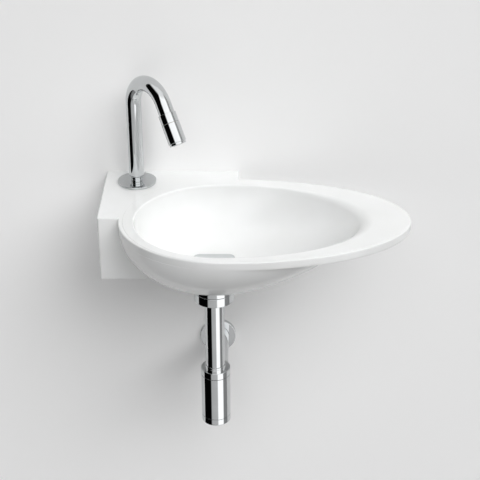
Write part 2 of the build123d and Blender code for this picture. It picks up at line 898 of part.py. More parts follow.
collar_top = trap_top + collar_height
groove_z = trap_top + collar_groove_height
with BuildPart() as inlet_collar:
    turned(
        drain_axis,
        (tube_radius + thread_play, trap_top),
        (collar_radius, trap_top),
        (collar_radius, groove_z - collar_groove_depth),
        (collar_radius - collar_groove_depth, groove_z),
        (collar_radius, groove_z + collar_groove_depth),
        (collar_radius, collar_top - collar_groove_depth),
        (collar_radius - collar_groove_depth, collar_top),
        (tube_radius + thread_play, collar_top),
    )
inlet_collar.part.label = "inlet_collar"
export_step(inlet_collar.part, "parts/inlet_collar.step")

with BuildPart() as inlet_seal:
    ring(drain_axis, tube_radius - tube_wall, tube_radius, dip_top, tube_end)
inlet_seal.part.label = "inlet_seal"
export_step(inlet_seal.part, "parts/inlet_seal.step")

bottle_axis = upright(drain_x, bottle_y)
bottle_bore = bottle_radius - bottle_wall
spigot_ring_radius = bottle_bore - thread_play
cap_base = trap_top - cap_height
with BuildPart() as bottle_cap:
    eased_ring(bottle_axis, 0, bottle_radius, cap_base, trap_top, bottle_edge / 2)
    ring(
        bottle_axis,
        spigot_ring_radius - spigot_ring_wall,
        spigot_ring_radius,
        cap_base - spigot_ring_height,
        cap_base,
    )
    ring(
        drain_axis,
        0,
        tube_radius + thread_play,
        socket_floor,
        trap_top + cut_past,
        mode=Mode.SUBTRACT,
    )
    ring(drain_axis, 0, dip_radius + slip_play, cap_base - cut_past, trap_top, mode=Mode.SUBTRACT)
bottle_cap.part.label = "bottle_cap"
export_step(bottle_cap.part, "parts/bottle_cap.step")

with BuildPart() as dip_tube:
    dip_bore = dip_radius - dip_wall
    ring(drain_axis, dip_bore, dip_radius, trap_base + dip_end_above_base, dip_top)
    ring(drain_axis, dip_bore, tube_radius - slip_play, socket_floor, dip_top)
dip_tube.part.label = "dip_tube"
export_step(dip_tube.part, "parts/dip_tube.step")

body_top = cap_base - bottle_seal
cup_top = trap_base + cup_height
body_base = cup_top + bottle_seal
with BuildPart() as bottle_body:
    ring(bottle_axis, bottle_bore, bottle_radius, body_base, body_top)
    with BuildSketch(Plane.XZ.offset(-bottle_y)):
        with Locations((drain_x, pipe_z)):
            Circle(pipe_radius + thread_play)
    extrude(amount=-bottle_radius - cut_past, mode=Mode.SUBTRACT)
bottle_body.part.label = "bottle_body"
export_step(bottle_body.part, "parts/bottle_body.step")

with BuildPart() as cap_seal:
    ring(bottle_axis, bottle_bore, bottle_radius - bottle_edge, body_top, cap_base)
cap_seal.part.label = "cap_seal"
export_step(cap_seal.part, "parts/cap_seal.step")

with BuildPart() as bottle_cup:
    turned(
        bottle_axis,
        (0, trap_base),
        (bottle_radius - bottle_edge, trap_base),
        (bottle_radius, trap_base + bottle_edge),
        (bottle_radius, cup_top),
        (spigot_ring_radius, cup_top),
        (spigot_ring_radius, cup_top + spigot_ring_height),
        (spigot_ring_radius - spigot_ring_wall, cup_top + spigot_ring_height),
        (spigot_ring_radius - spigot_ring_wall, trap_base + cup_floor),
        (0, trap_base + cup_floor),
    )
bottle_cup.part.label = "bottle_cup"
export_step(bottle_cup.part, "parts/bottle_cup.step")

with BuildPart() as cup_seal:
    ring(bottle_axis, bottle_bore, bottle_radius - bottle_edge, cup_top, body_base)
cup_seal.part.label = "cup_seal"
export_step(cup_seal.part, "parts/cup_seal.step")

pipe_axis = wallward(drain_x, pipe_z)
with BuildPart() as outlet_pipe:
    pipe_start = bottle_y + pipe_inside_bottle
    ring(pipe_axis, pipe_radius - pipe_wall, pipe_radius, pipe_start, pipe_past_wall)
    ring(
        pipe_axis,
        pipe_radius - insertion_mark_depth,
        pipe_radius + insertion_mark_depth,
        -insertion_mark_width / 2,
        insertion_mark_width / 2,
        mode=Mode.SUBTRACT,
    )
outlet_pipe.part.label = "outlet_pipe"
export_step(outlet_pipe.part, "parts/outlet_pipe.step")

with BuildPart() as wall_plate:
    plate_bore = pipe_radius + slip_play
    with BuildSketch(pipe_axis):
        with BuildLine():
            Polyline(
                (plate_bore, 0),
                (wall_plate_radius, 0),
                (wall_plate_radius, wall_plate_round - wall_plate_height),
            )
            CenterArc(
                (wall_plate_radius - wall_plate_round, wall_plate_round - wall_plate_height),
                wall_plate_round,
                -90,
                90,
            )
            Polyline(
                (wall_plate_radius - wall_plate_round, -wall_plate_height),
                (plate_bore, -wall_plate_height),
                (plate_bore, 0),
            )
        make_face()
    revolve(axis=Axis(pipe_axis.origin, pipe_axis.y_dir))
wall_plate.part.label = "wall_plate"
export_step(wall_plate.part, "parts/wall_plate.step")
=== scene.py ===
import json
import math

import bmesh
import bpy
import numpy as np
from mathutils import Euler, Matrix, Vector


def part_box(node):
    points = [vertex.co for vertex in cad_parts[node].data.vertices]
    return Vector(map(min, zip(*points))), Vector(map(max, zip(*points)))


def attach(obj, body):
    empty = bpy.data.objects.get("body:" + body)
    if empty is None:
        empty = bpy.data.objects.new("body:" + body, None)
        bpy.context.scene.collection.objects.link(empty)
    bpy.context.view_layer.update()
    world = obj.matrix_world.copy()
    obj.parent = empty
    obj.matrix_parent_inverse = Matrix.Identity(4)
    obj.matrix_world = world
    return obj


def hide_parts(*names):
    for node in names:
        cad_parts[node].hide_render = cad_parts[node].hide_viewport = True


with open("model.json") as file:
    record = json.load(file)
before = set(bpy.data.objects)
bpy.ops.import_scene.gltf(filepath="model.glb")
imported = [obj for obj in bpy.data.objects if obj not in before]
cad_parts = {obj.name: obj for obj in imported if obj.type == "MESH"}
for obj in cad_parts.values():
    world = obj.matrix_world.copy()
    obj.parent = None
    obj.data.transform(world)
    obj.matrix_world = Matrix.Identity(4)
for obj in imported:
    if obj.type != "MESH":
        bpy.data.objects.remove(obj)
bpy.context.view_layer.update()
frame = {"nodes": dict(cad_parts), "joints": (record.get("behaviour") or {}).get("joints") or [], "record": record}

scene = bpy.context.scene
mm = 0.001
record = frame["record"]
slotOf = {row["node"]: row["material_slot"] for row in record["subparts"]}
bodyOf = {node: body for body, nodes in record["behaviour"]["bodies"].items() for node in nodes}
jointOf = {joint["name"]: joint for joint in frame["joints"]}


def say(stage):
    print("scene:", stage)


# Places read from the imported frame, in millimetres

def lowest(node):
    return np.array(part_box(node)[0]) / mm


def highest(node):
    return np.array(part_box(node)[1]) / mm


def centreOf(node):
    return (lowest(node) + highest(node)) / 2


up = np.array((0.0, 0.0, 1.0))
intoWall = np.array((0.0, 1.0, 0.0))
rimTop = highest("basin")[2]
seatHeight = lowest("basin")[2]
basinLeft = lowest("basin")[0]
basinRight = highest("basin")[0]
ledge = lowest("base_gasket")[2]                  # top of the ledge that the tap stands on
drain = centreOf("waste_gasket_upper")            # axis of the waste
recessDepth = 3.0                                 # of the recess that the flange of the waste lies in
drain[2] = lowest("waste_gasket_upper")[2] + recessDepth
tapFoot = np.array((*(np.array(jointOf["spout_swivel"]["pos_m"][:2]) / mm), ledge))
valveFoot = np.array(jointOf["sleeve_twist"]["pos_m"]) / mm
valveAlong = np.array(jointOf["sleeve_twist"]["axis"])
valveAlong /= np.linalg.norm(valveAlong)


# Shapes: grids of points, worked out as whole arrays in millimetres

threadForm = {"steepness": 1.7, "crest": 0.35, "rowsPerTurn": 8}


def gridQuads(rows, columns, closedRows):
    # quads between neighbouring rows; the columns always close into a ring
    row, column = np.meshgrid(np.arange(rows if closedRows else rows - 1), np.arange(columns), indexing="ij")
    nextRow, nextColumn = (row + 1) % rows, (column + 1) % columns
    corners = (row * columns + column, row * columns + nextColumn,
               nextRow * columns + nextColumn, nextRow * columns + column)
    return np.stack(corners, axis=-1).reshape(-1, 4)


def closedMesh(name, grid, closedRows):
    # mesh of a grid of points; its poles are welded and its faces turned outwards
    mesh = bpy.data.meshes.new(name)
    rows, columns = grid.shape[:2]
    mesh.from_pydata((grid * mm).reshape(-1, 3).tolist(), [], gridQuads(rows, columns, closedRows).tolist())
    skin = bmesh.new()
    skin.from_mesh(mesh)
    bmesh.ops.remove_doubles(skin, verts=skin.verts, dist=1e-7)
    bmesh.ops.dissolve_degenerate(skin, edges=skin.edges, dist=1e-8)
    bmesh.ops.recalc_face_normals(skin, faces=skin.faces)
    if skin.calc_volume(signed=True) < 0:
        bmesh.ops.reverse_faces(skin, faces=skin.faces)
    skin.to_mesh(mesh)
    skin.free()
    return mesh


pastArc = 0.12           # share of a corner's ease at which one more point follows the arc


def easedOutline(corners, steps=7):
    # closed outline through (x, y, ease) corners: each corner is an arc that touches both of its sides,
    # with one more point just past each end of the arc, so that the flats beside it shade flat
    points = []
    for index, (x, y, ease) in enumerate(corners):
        corner = np.array((x, y), float)
        if ease == 0:
            points.append(corner)
            continue
        back = np.array(corners[index - 1][:2]) - corner
        ahead = np.array(corners[(index + 1) % len(corners)][:2]) - corner
        back, ahead = back / np.linalg.norm(back), ahead / np.linalg.norm(ahead)
        halfAngle = math.acos(np.clip(back @ ahead, -1, 1)) / 2
        reach = ease / math.tan(halfAngle)
        bisector = (back + ahead) / np.linalg.norm(back + ahead)
        centre = corner + bisector * ease / math.sin(halfAngle)
        first = corner + back * reach - centre
        last = corner + ahead * reach - centre
        start = math.atan2(first[1], first[0])
        turn = math.atan2(first[0] * last[1] - first[1] * last[0], first @ last)
        angle = start + turn * np.linspace(0, 1, steps)
        points.append(corner + back * (reach + pastArc * ease))
        points.extend(centre + ease * np.stack((np.cos(angle), np.sin(angle)), axis=-1))
        points.append(corner + ahead * (reach + pastArc * ease))
    return np.array(points)


def turnedMesh(name, foot, along, corners, around=160, threads=()):
    # profile of (radius, height, ease) corners carried round an axis: the point at angle a is
    # foot + radius * (cos a * side + sin a * other) + height * along;
    # a thread takes its depth off the radius by a wave of height / pitch - a / full turn
    profile = easedOutline(corners)
    for thread in threads:
        profile = withThreadRows(profile, thread)
    radius, height = profile[:, :1], profile[:, 1:]
    along = np.array(along, float)
    side = np.cross(along, (0.0, 1.0, 0.0) if abs(along[1]) < 0.9 else (1.0, 0.0, 0.0))
    side /= np.linalg.norm(side)
    other = np.cross(along, side)
    angle = np.linspace(0, 2 * math.pi, around, endpoint=False)[None, :]
    radius = radius + 0 * angle
    for thread in threads:
        phase = (height / thread["pitch"] - angle / (2 * math.pi)) % 1
        wave = np.clip(threadForm["steepness"] * np.abs(2 * phase - 1) - threadForm["crest"], 0, 1)
        fade = np.clip(np.minimum(height - thread["low"], thread["high"] - height) / thread["pitch"], 0, 1)
        onThread = np.abs(radius - thread["radius"]) < 1e-6
        radius = radius - onThread * fade * wave * thread["depth"]
    ring = np.cos(angle)[..., None] * side + np.sin(angle)[..., None] * other
    grid = np.array(foot) + radius[..., None] * ring + height[..., None] * along
    onAxis = profile[0, 0] == 0 and profile[-1, 0] == 0
    return closedMesh(name, grid, closedRows=not onAxis)


def rodMesh(name, foot, along, radius, low, high, around):
    # plain round bar between two heights along an axis, for the round holes
    corners = [(0, low, 0), (radius, low, 0), (radius, high, 0), (0, high, 0)]
    return turnedMesh(name, foot, along, corners, around)


def withThreadRows(profile, thread):
    # more rows along the side that carries the thread
    rows = []
    for start, end in zip(profile, np.roll(profile, -1, axis=0)):
        onSide = abs(start[0] - thread["radius"]) < 1e-6 and abs(end[0] - thread["radius"]) < 1e-6
        turns = abs(end[1] - start[1]) / thread["pitch"]
        count = max(1, round(turns * threadForm["rowsPerTurn"])) if onSide else 1
        rows.extend(start + (end - start) * np.arange(count)[:, None] / count)
    return np.array(rows)


def boxMesh(name, low, high):
    # plain box as a grid: two square rings, closed by a pole at each end
    low, high = np.array(low, float), np.array(high, float)
    square = np.array(((low[0], low[1]), (high[0], low[1]), (high[0], high[1]), (low[0], high[1])))
    centre = (low[:2] + high[:2]) / 2 + 0 * square
    rows = [(centre, low[2]), (square, low[2]), (square, high[2]), (centre, high[2])]
    grid = np.array([np.column_stack((ring, np.full(4, height))) for ring, height in rows])
    return closedMesh(name, grid, closedRows=False)


def roundedRectangle(low, high, cornerRadii, steps=9):
    # rectangle whose four corners, from low left round to the top left, are arcs of their own radius
    corners = ((low[0], low[1]), (high[0], low[1]), (high[0], high[1]), (low[0], high[1]))
    sized = [(x, y, radius) for (x, y), radius in zip(corners, cornerRadii)]
    return easedOutline(sized, steps)


def plateMesh(name, low, high, cornerRadii, levels):
    # stack of rounded rectangles, each one drawn in by an inset at its height, closed by a pole at each end
    rings = []
    for inset, height in levels:
        radii = [max(radius - inset, 0.05) for radius in cornerRadii]
        ring = roundedRectangle(np.array(low) + inset, np.array(high) - inset, radii)
        rings.append(np.column_stack((ring, np.full(len(ring), height))))
    for end, place in ((rings[0], 0), (rings[-1], len(rings) + 1)):
        centre = end.mean(axis=0) + 0 * end
        rings.insert(place, centre)
    return closedMesh(name, np.array(rings), closedRows=False)


def quarter(ease, height, rising, steps=8):
    # insets and heights of a quarter round; rising runs from the side up over a top edge
    angle = np.linspace(0, math.pi / 2, steps)
    inset = ease * (1 - np.cos(angle))
    climb = ease * np.sin(angle)
    if rising:
        return list(zip(inset, height - ease + climb))
    return list(zip(inset[::-1], height + ease - climb[::-1]))


def combined(name, first, others):
    # closed meshes joined or cut one after the other; the helpers are taken away again
    body = bpy.data.objects.new(name, first)
    scene.collection.objects.link(body)
    helpers = [body]
    for mesh, operation in others:
        helper = bpy.data.objects.new(mesh.name, mesh)
        scene.collection.objects.link(helper)
        helpers.append(helper)
        step = body.modifiers.new(mesh.name, "BOOLEAN")
        step.object, step.operation, step.solver = helper, operation, "MANIFOLD"
    bpy.context.view_layer.update()
    result = bpy.data.meshes.new_from_object(body.evaluated_get(bpy.context.evaluated_depsgraph_get()))
    for helper in helpers:
        bpy.data.objects.remove(helper)
    result.name = name
    return result


def addPiece(name, mesh, nodes, finish, sharp=32):
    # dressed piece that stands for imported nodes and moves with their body
    piece = bpy.data.objects.new(name, mesh)
    scene.collection.objects.link(piece)
    mesh.materials.clear()
    mesh.materials.append(finish)
    mesh.shade_smooth()
    mesh.set_sharp_from_angle(angle=math.radians(sharp))
    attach(piece, bodyOf[nodes[0]])
    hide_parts(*nodes)
    return piece


# Materials

def toLinear(hexColour):
    # sRGB hex to linear red, green, blue and alpha
    parts = [int(hexColour[i:i + 2], 16) / 255 for i in (0, 2, 4)]
    linear = [part / 12.92 if part <= 0.04045 else ((part + 0.055) / 1.055) ** 2.4 for part in parts]
    return (*linear, 1.0)


def addNode(tree, kind, settings=None, links=None):
    # one node: a setting is a property of the node or the value of a socket, and a link fills a socket
    node = tree.nodes.new(kind)
    for name, value in (settings or {}).items():
        if isinstance(name, str) and hasattr(node, name):
            setattr(node, name, value)
        else:
            node.inputs[name].default_value = value
    for name, socket in (links or {}).items():
        tree.links.new(socket, node.inputs[name])
    return node


def newMaterial(name):
    material = bpy.data.materials.new(name)
    material.use_nodes = True
    material.node_tree.nodes.clear()
    tree = material.node_tree
    place = addNode(tree, "ShaderNodeTexCoord").outputs["Object"]
    shader = addNode(tree, "ShaderNodeBsdfPrincipled")
    addNode(tree, "ShaderNodeOutputMaterial", links={"Surface": shader.outputs["BSDF"]})
    return material, tree, place, shader


def noiseAt(tree, place, sizeMm, detail=2.0):
    # noise whose lumps are about sizeMm across
    return addNode(tree, "ShaderNodeTexNoise", {"Scale": 1 / (sizeMm * mm), "Detail": detail}, {"Vector": place})


def rampOf(tree, source, stops):
    # colour ramp of (place, hex colour) stops
    ramp = addNode(tree, "ShaderNodeValToRGB", links={"Fac": source})
    elements = ramp.color_ramp.elements
    while len(elements) < len(stops):
        elements.new(0.5)
    for element, (where, colour) in zip(elements, stops):
        element.position, element.color = where, toLinear(colour)
    return ramp.outputs["Color"]


def rangeOf(tree, source, low, high):
    # noise value, which stays near 0.3 to 0.7, spread between two values
    spread = addNode(tree, "ShaderNodeMapRange",
                     {"From Min": 0.3, "From Max": 0.7, "To Min": low, "To Max": high}, {"Value": source})
    return spread.outputs["Result"]


def coatBy(tree, shader, source, stops, roughness):
    # colour and roughness that follow one source
    tree.links.new(rampOf(tree, source, stops), shader.inputs["Base Color"])
    tree.links.new(rangeOf(tree, source, *roughness), shader.inputs["Roughness"])


def bumpOf(tree, source, depthMm, shader, under=None):
    # height field as a bump of a real depth
    links = {"Height": source}
    if under:
        links["Normal"] = under.outputs["Normal"]
    bump = addNode(tree, "ShaderNodeBump", {"Strength": 1.0, "Distance": depthMm * mm}, links)
    tree.links.new(bump.outputs["Normal"], shader.inputs["Normal"])
    return bump


def vitreousChina():
    # White vitreous china under a fired gloss glaze: bright, faintly cool, with sharp reflections
    # that wander a little where the glaze pooled before it set.
    look = {"cloudMm": 70, "pale": "f0f1f1", "deep": "ecedec", "smooth": 0.045, "dull": 0.075,
            "poolMm": 28, "poolDepthMm": 0.02, "peelMm": 3.5, "peelDepthMm": 0.0012}
    material, tree, place, shader = newMaterial("glazedVitreousChina")
    shader.inputs["IOR"].default_value = 1.52
    cloud = noiseAt(tree, place, look["cloudMm"])
    tree.links.new(rampOf(tree, cloud.outputs["Fac"], ((0.3, look["deep"]), (0.7, look["pale"]))),
                   shader.inputs["Base Color"])
    haze = noiseAt(tree, place, look["poolMm"], 3.0)
    tree.links.new(rangeOf(tree, haze.outputs["Fac"], look["smooth"], look["dull"]), shader.inputs["Roughness"])
    pool = bumpOf(tree, haze.outputs["Fac"], look["poolDepthMm"], shader)
    peel = noiseAt(tree, place, look["peelMm"])
    bumpOf(tree, peel.outputs["Fac"], look["peelDepthMm"], shader, under=pool)
    return material


def grained(look):
    # finish with a cloudy noise for colour and roughness, and a finer noise for its bump
    material, tree, place, shader = newMaterial(look["name"])
    for socket, value in look["sockets"].items():
        shader.inputs[socket].default_value = value
    cloud = noiseAt(tree, place, look["cloudMm"], look["detail"])
    coatBy(tree, shader, cloud.outputs["Fac"], look["stops"], look["roughness"])
    if "grainMm" in look:
        grain = noiseAt(tree, place, look["grainMm"])
        bumpOf(tree, grain.outputs["Fac"], look["depthMm"], shader)
    return material


grainedLooks = {
    # Brass plated with nickel and bright chromium, then buffed: a cool mirror with a trace of wiping haze.
    "chrome": {"name": "brightChromePlate", "sockets": {"Metallic": 1.0}, "cloudMm": 18, "detail": 3.0,
               "stops": ((0.3, "cacccd"), (0.7, "cfd1d2")), "roughness": (0.02, 0.05),
               "grainMm": 9, "depthMm": 0.0015},
    # Moulded nitrile rubber: near black, matt, with a dusty bloom in the mould's fine grain.
    "black_rubber": {"name": "mouldedSealRubber", "sockets": {}, "cloudMm": 6, "detail": 3.0,
                     "stops": ((0.35, "17181a"), (0.75, "2a2b2d")), "roughness": (0.5, 0.68),
                     "grainMm": 0.6, "depthMm": 0.02},
    # Injection-moulded nylon: milky white, a little waxy, with a very fine spark-eroded grain.
    "white_nylon": {"name": "mouldedNylon", "sockets": {"IOR": 1.53}, "cloudMm": 9, "detail": 2.0,
                    "stops": ((0.3, "e2dfd5"), (0.7, "eceae3")), "roughness": (0.36, 0.5),
                    "grainMm": 0.5, "depthMm": 0.012},
    # Sintered alumina discs, lapped until they seal: ivory, with a silky sheen and faint pores.
    "disc_ceramic": {"name": "lappedAlumina", "sockets": {"IOR": 1.77}, "cloudMm": 0.5, "detail": 4.0,
                     "stops": ((0.3, "dcd6c6"), (0.6, "ebe6d8")), "roughness": (0.16, 0.3)},
}


def turnedBrass():
    # Free-cutting brass left bare: warm yellow, with the fine rings of the lathe tool, drawn coarser than real.
    look = {"bright": "d3b274", "dark": "b08a4c", "feedMm": 0.5, "ringDepthMm": 0.01, "roughness": (0.24, 0.38)}
    material, tree, place, shader = newMaterial("turnedBareBrass")
    shader.inputs["Metallic"].default_value = 1.0
    stain = noiseAt(tree, place, 8, 4.0)
    coatBy(tree, shader, stain.outputs["Fac"], ((0.3, look["dark"]), (0.7, look["bright"])), look["roughness"])
    rings = addNode(tree, "ShaderNodeTexWave",
                    {"wave_type": "BANDS", "bands_direction": "Z", "Scale": 0.05 / (look["feedMm"] * mm),
                     "Distortion": 0.4}, {"Vector": place})
    bumpOf(tree, rings.outputs["Fac"], look["ringDepthMm"], shader)
    return material


def zincPlate():
    # Mild steel with a bright zinc plate: grey, softly clouded by its crystals.
    look = {"bright": "c9ccd0", "dark": "a2a7ad", "crystalMm": 2.2, "roughness": (0.28, 0.45), "depthMm": 0.02}
    material, tree, place, shader = newMaterial("zincPlatedSteel")
    shader.inputs["Metallic"].default_value = 1.0
    crystal = addNode(tree, "ShaderNodeTexVoronoi", {"Scale": 1 / (look["crystalMm"] * mm)}, {"Vector": place})
    coatBy(tree, shader, crystal.outputs["Distance"], ((0.1, look["bright"]), (0.8, look["dark"])),
           look["roughness"])
    bumpOf(tree, crystal.outputs["Distance"], look["depthMm"], shader)
    return material


finishOf = {slot: grained(look) for slot, look in grainedLooks.items()}
finishOf.update({"glazed_ceramic": vitreousChina(), "raw_brass": turnedBrass(), "zinc_steel": zincPlate()})
for node, part in frame["nodes"].items():
    part.data.materials.clear()
    part.data.materials.append(finishOf[slotOf[node]])
china, chrome, zinc = finishOf["glazed_ceramic"], finishOf["chrome"], finishOf["zinc_steel"]
say("materials")


# Basin: one casting, the egg-shaped bowl and rim on the block that hangs on the wall

basinShape = {
    "blockWidth": 181.6, "blockDepth": 142.0, "blockHeight": 90.8, "blockWall": 12.0, "backWall": 11.0,
    "cornerRadius": 3.0, "backCorner": 0.4, "topEdge": 1.8, "footEdge": 2.0, "cavityCorner": 3.0,
    "rimLeftInset": 27.8, "waistInset": 167.8, "wallGap": 26.3, "halfDepth": 116.4,
    "rimThickness": 11.4, "rimEdge": 1.8,
    "tableLeft": 5.8, "tableRight": 2.2, "tableSide": 2.5, "tableWaist": 158.8, "tableEdge": 0.35,
    "mouthLeft": 20.3, "mouthSide": 16.7, "mouthRight": 60.0, "mouthWaist": 158.8, "mouthFromWall": 145.2,
    "rollLeft": (2.0, 2.0), "rollSide": (2.5, 2.5), "rollRight": (12.0, 7.0),
    "bowlDepth": 73.5, "floorReach": 34.0, "hollowLeft": (2.4, 2.2), "hollowRight": (1.2, 1.65),
    "hollowSide": (1.5, 2.0),
    "bowlStart": 2.2, "overhang": 62.8, "seatReach": 29.0,
    "outsideLeft": (2.55, 1.35), "outsideRight": (1.56, 1.13), "outsideSide": (1.85, 1.5),
    "recessRadius": 26.3, "landRadius": 31.0, "wasteHole": 22.5, "tapHole": 17.5,
    "fixingSpacing": 128.0, "fixingHole": 7.0, "around": 288,
}


def shareLeft(level, fall, swell):
    # part of the reach that is left at a share of the depth: (1 - level ^ fall) ^ (1 / swell)
    return (1 - level ** fall) ** (1 / swell)


def rolledBy(depth, roll):
    # extra reach where the lip rolls into the hollow: a quarter of an ellipse, as width and height
    width, height = roll
    return width * (1 - np.sqrt(1 - np.clip(1 - depth / height, 0, 1) ** 2))


def eggRows(left, right, waist, halfDepth, centreY, height):
    # one row of egg sizes for each height; a single number stands for all heights
    return np.stack(np.broadcast_arrays(left, right, waist, halfDepth, centreY, height), axis=-1).astype(float)


def eggGrid(rows, around):
    # each egg is two half ellipses that meet at the waist:
    # x = waist + reach * cos a with the reach of that side, y = centre + half depth * sin a
    angle = np.linspace(0, 2 * math.pi, around, endpoint=False)[None, :]
    left, right, waist, halfDepth, centreY, height = (rows[:, i:i + 1] for i in range(6))
    reach = np.where(np.cos(angle) >= 0, right - waist, waist - left)
    x = waist + reach * np.cos(angle)
    y = centreY + halfDepth * np.sin(angle)
    return np.stack((x, y, height + 0 * angle), axis=-1)


def basinMesh(shape):
    rimLeft, rimRight = basinLeft + shape["rimLeftInset"], basinRight
    waist = basinLeft + shape["waistInset"]
    centreY = -(shape["wallGap"] + shape["halfDepth"])
    side = shape["halfDepth"]
    underRim = ledge - shape["rimThickness"]
    bowlTop = rimTop - shape["bowlStart"]
    drainX, drainY, floor = drain

    def hollow(depth):
        level = depth / shape["bowlDepth"]
        mouthLeft = rimLeft + shape["mouthLeft"] - rolledBy(depth, shape["rollLeft"])
        mouthRight = rimRight - shape["mouthRight"] + rolledBy(depth, shape["rollRight"])
        mouthSide = side - shape["mouthSide"] + rolledBy(depth, shape["rollSide"])
        mouthWaist, mouthY = basinLeft + shape["mouthWaist"], -shape["mouthFromWall"]
        reach = shape["floorReach"]
        return eggRows(
            drainX - reach + (mouthLeft - drainX + reach) * shareLeft(level, *shape["hollowLeft"]),
            drainX + reach + (mouthRight - drainX - reach) * shareLeft(level, *shape["hollowRight"]),
            mouthWaist + (drainX - mouthWaist) * level,
            reach + (mouthSide - reach) * shareLeft(level, *shape["hollowSide"]),
            mouthY + (drainY - mouthY) * level,
            rimTop - depth)

    def outside(height):
        level = np.clip((bowlTop - height) / (bowlTop - seatHeight), 0, 1)
        mouthRight, reach = rimRight - shape["overhang"], shape["seatReach"]
        return eggRows(
            drainX - reach + (rimLeft - drainX + reach) * shareLeft(level, *shape["outsideLeft"]),
            drainX + reach + (mouthRight - drainX - reach) * shareLeft(level, *shape["outsideRight"]),
            waist + (drainX - waist) * level,
            reach + (side - reach) * shareLeft(level, *shape["outsideSide"]),
            centreY + (drainY - centreY) * level,
            height)

    def circle(radius, height):
        return eggRows(drainX - radius, drainX + radius, drainX, radius, drainY, height)

    def between(first, last, shares):
        # rows that lead straight from one egg to another
        return first + (last - first) * np.array(shares)[:, None]

    # hollow: closely spaced heights where the lip rolls, then rows that crowd towards the floor
    lip = shape["rollRight"][1] * (1 - np.cos(np.linspace(0, math.pi / 2, 26)))
    wall = shape["bowlDepth"] - (shape["bowlDepth"] - lip[-1]) * np.linspace(1, 0, 74)[1:] ** 2
    hollowRows = hollow(np.concatenate((lip, wall)))
    # rim: raised table with a rounded step, margin level with the ledge, rounded edge and side
    edge, step = shape["rimEdge"], shape["tableEdge"]
    angle = np.linspace(0, math.pi / 2, 11)
    rim = lambda inset, height: eggRows(rimLeft + inset, rimRight - inset, waist, side - inset, centreY, height)
    table = lambda inset, height: eggRows(
        rimLeft + shape["tableLeft"] + inset, rimRight - shape["tableRight"] - inset,
        basinLeft + shape["tableWaist"], side - shape["tableSide"] - inset, centreY, height)
    topRows = between(hollowRows[0], table(step, rimTop), (0.002, 0.02, 0.1, 0.3, 0.5, 0.7, 0.9, 0.98))
    stepRows = table(step * (1 - np.sin(angle)), rimTop - (rimTop - ledge) * (1 - np.cos(angle)))
    marginRows = between(stepRows[-1], rim(edge, ledge), (0.05, 0.5, 0.95))
    upperEdge = rim(edge * (1 - np.sin(angle)), ledge - edge * (1 - np.cos(angle)))
    # below them the slab has a side of its own only towards the right: elsewhere the edge runs on into the bowl
    slabHeight = np.concatenate((ledge - edge - np.array((0.3, 1.2, 2.1, 3.0)), underRim + edge + np.array(
        (2.0, 1.0, 0.2)), underRim + edge * (1 - np.sin(angle))))
    slabInset = np.concatenate((np.zeros(7), edge * (1 - np.cos(angle))))
    sideRows = rim(slabInset, slabHeight)
    bowlRows = outside(slabHeight)
    sideRows[:, 0], sideRows[:, 3] = bowlRows[:, 0], bowlRows[:, 3]
    fallen = (1 - np.cos(math.pi * np.linspace(0, 1, 84))) / 2
    outsideRows = outside(underRim + (seatHeight - underRim) * fallen)
    underRows = between(sideRows[-1], outsideRows[0], (0.02, 0.2, 0.5, 0.8, 0.98))
    # seat of the waste, its hole, the recess for its flange and the level land round that
    recess, hole, land = shape["recessRadius"], shape["wasteHole"], shape["landRadius"]
    deep = floor - recessDepth
    seatRows = between(outsideRows[-1], circle(hole, seatHeight), (0.1, 0.5, 0.98, 1))
    holeRows = circle(hole, np.array((seatHeight + 0.2, floor - 8, deep - 0.2, deep)))
    recessRows = circle(np.array((hole + 0.2, recess - 0.2, recess, recess, recess, recess + 0.2, land)),
                        np.array((deep, deep, deep, deep + 0.2, floor - 0.15, floor, floor)))
    rows = np.concatenate((hollowRows, recessRows[::-1], holeRows[::-1], seatRows[::-1],
                           outsideRows[::-1][1:], underRows[::-1], sideRows[::-1], upperEdge[::-1],
                           marginRows[::-1], stepRows[::-1], topRows[::-1]))
    shell = closedMesh("bowlShell", eggGrid(rows, shape["around"]), closedRows=True)
    say("bowl shell")

    # the part of the block that the bowl takes away ends inside the bowl's own wall
    height = np.linspace(bowlTop, floor, 44)
    inner, outer = hollow(rimTop - height), outside(height)
    middleRows = (inner + outer) / 2
    throat = middleRows[:1].repeat(2, axis=0)
    throat[:, 5] = (rimTop + 20, rimTop - 3)
    throat[:, 0] = (hollowRows[0, 0] + rimLeft) / 2
    base = middleRows[-1:].repeat(2, axis=0)
    base[:, 5] = (floor - 7, floor - 7)
    capTop, capBase = throat[:1].copy(), base[-1:].copy()
    for cap in (capTop, capBase):
        cap[:, 0] = cap[:, 1] = cap[:, 2]
        cap[:, 3] = 0
    bowlRoom = closedMesh("bowlRoom", eggGrid(np.concatenate((capTop, throat, middleRows, base[:1], capBase)), 144),
                          closedRows=False)

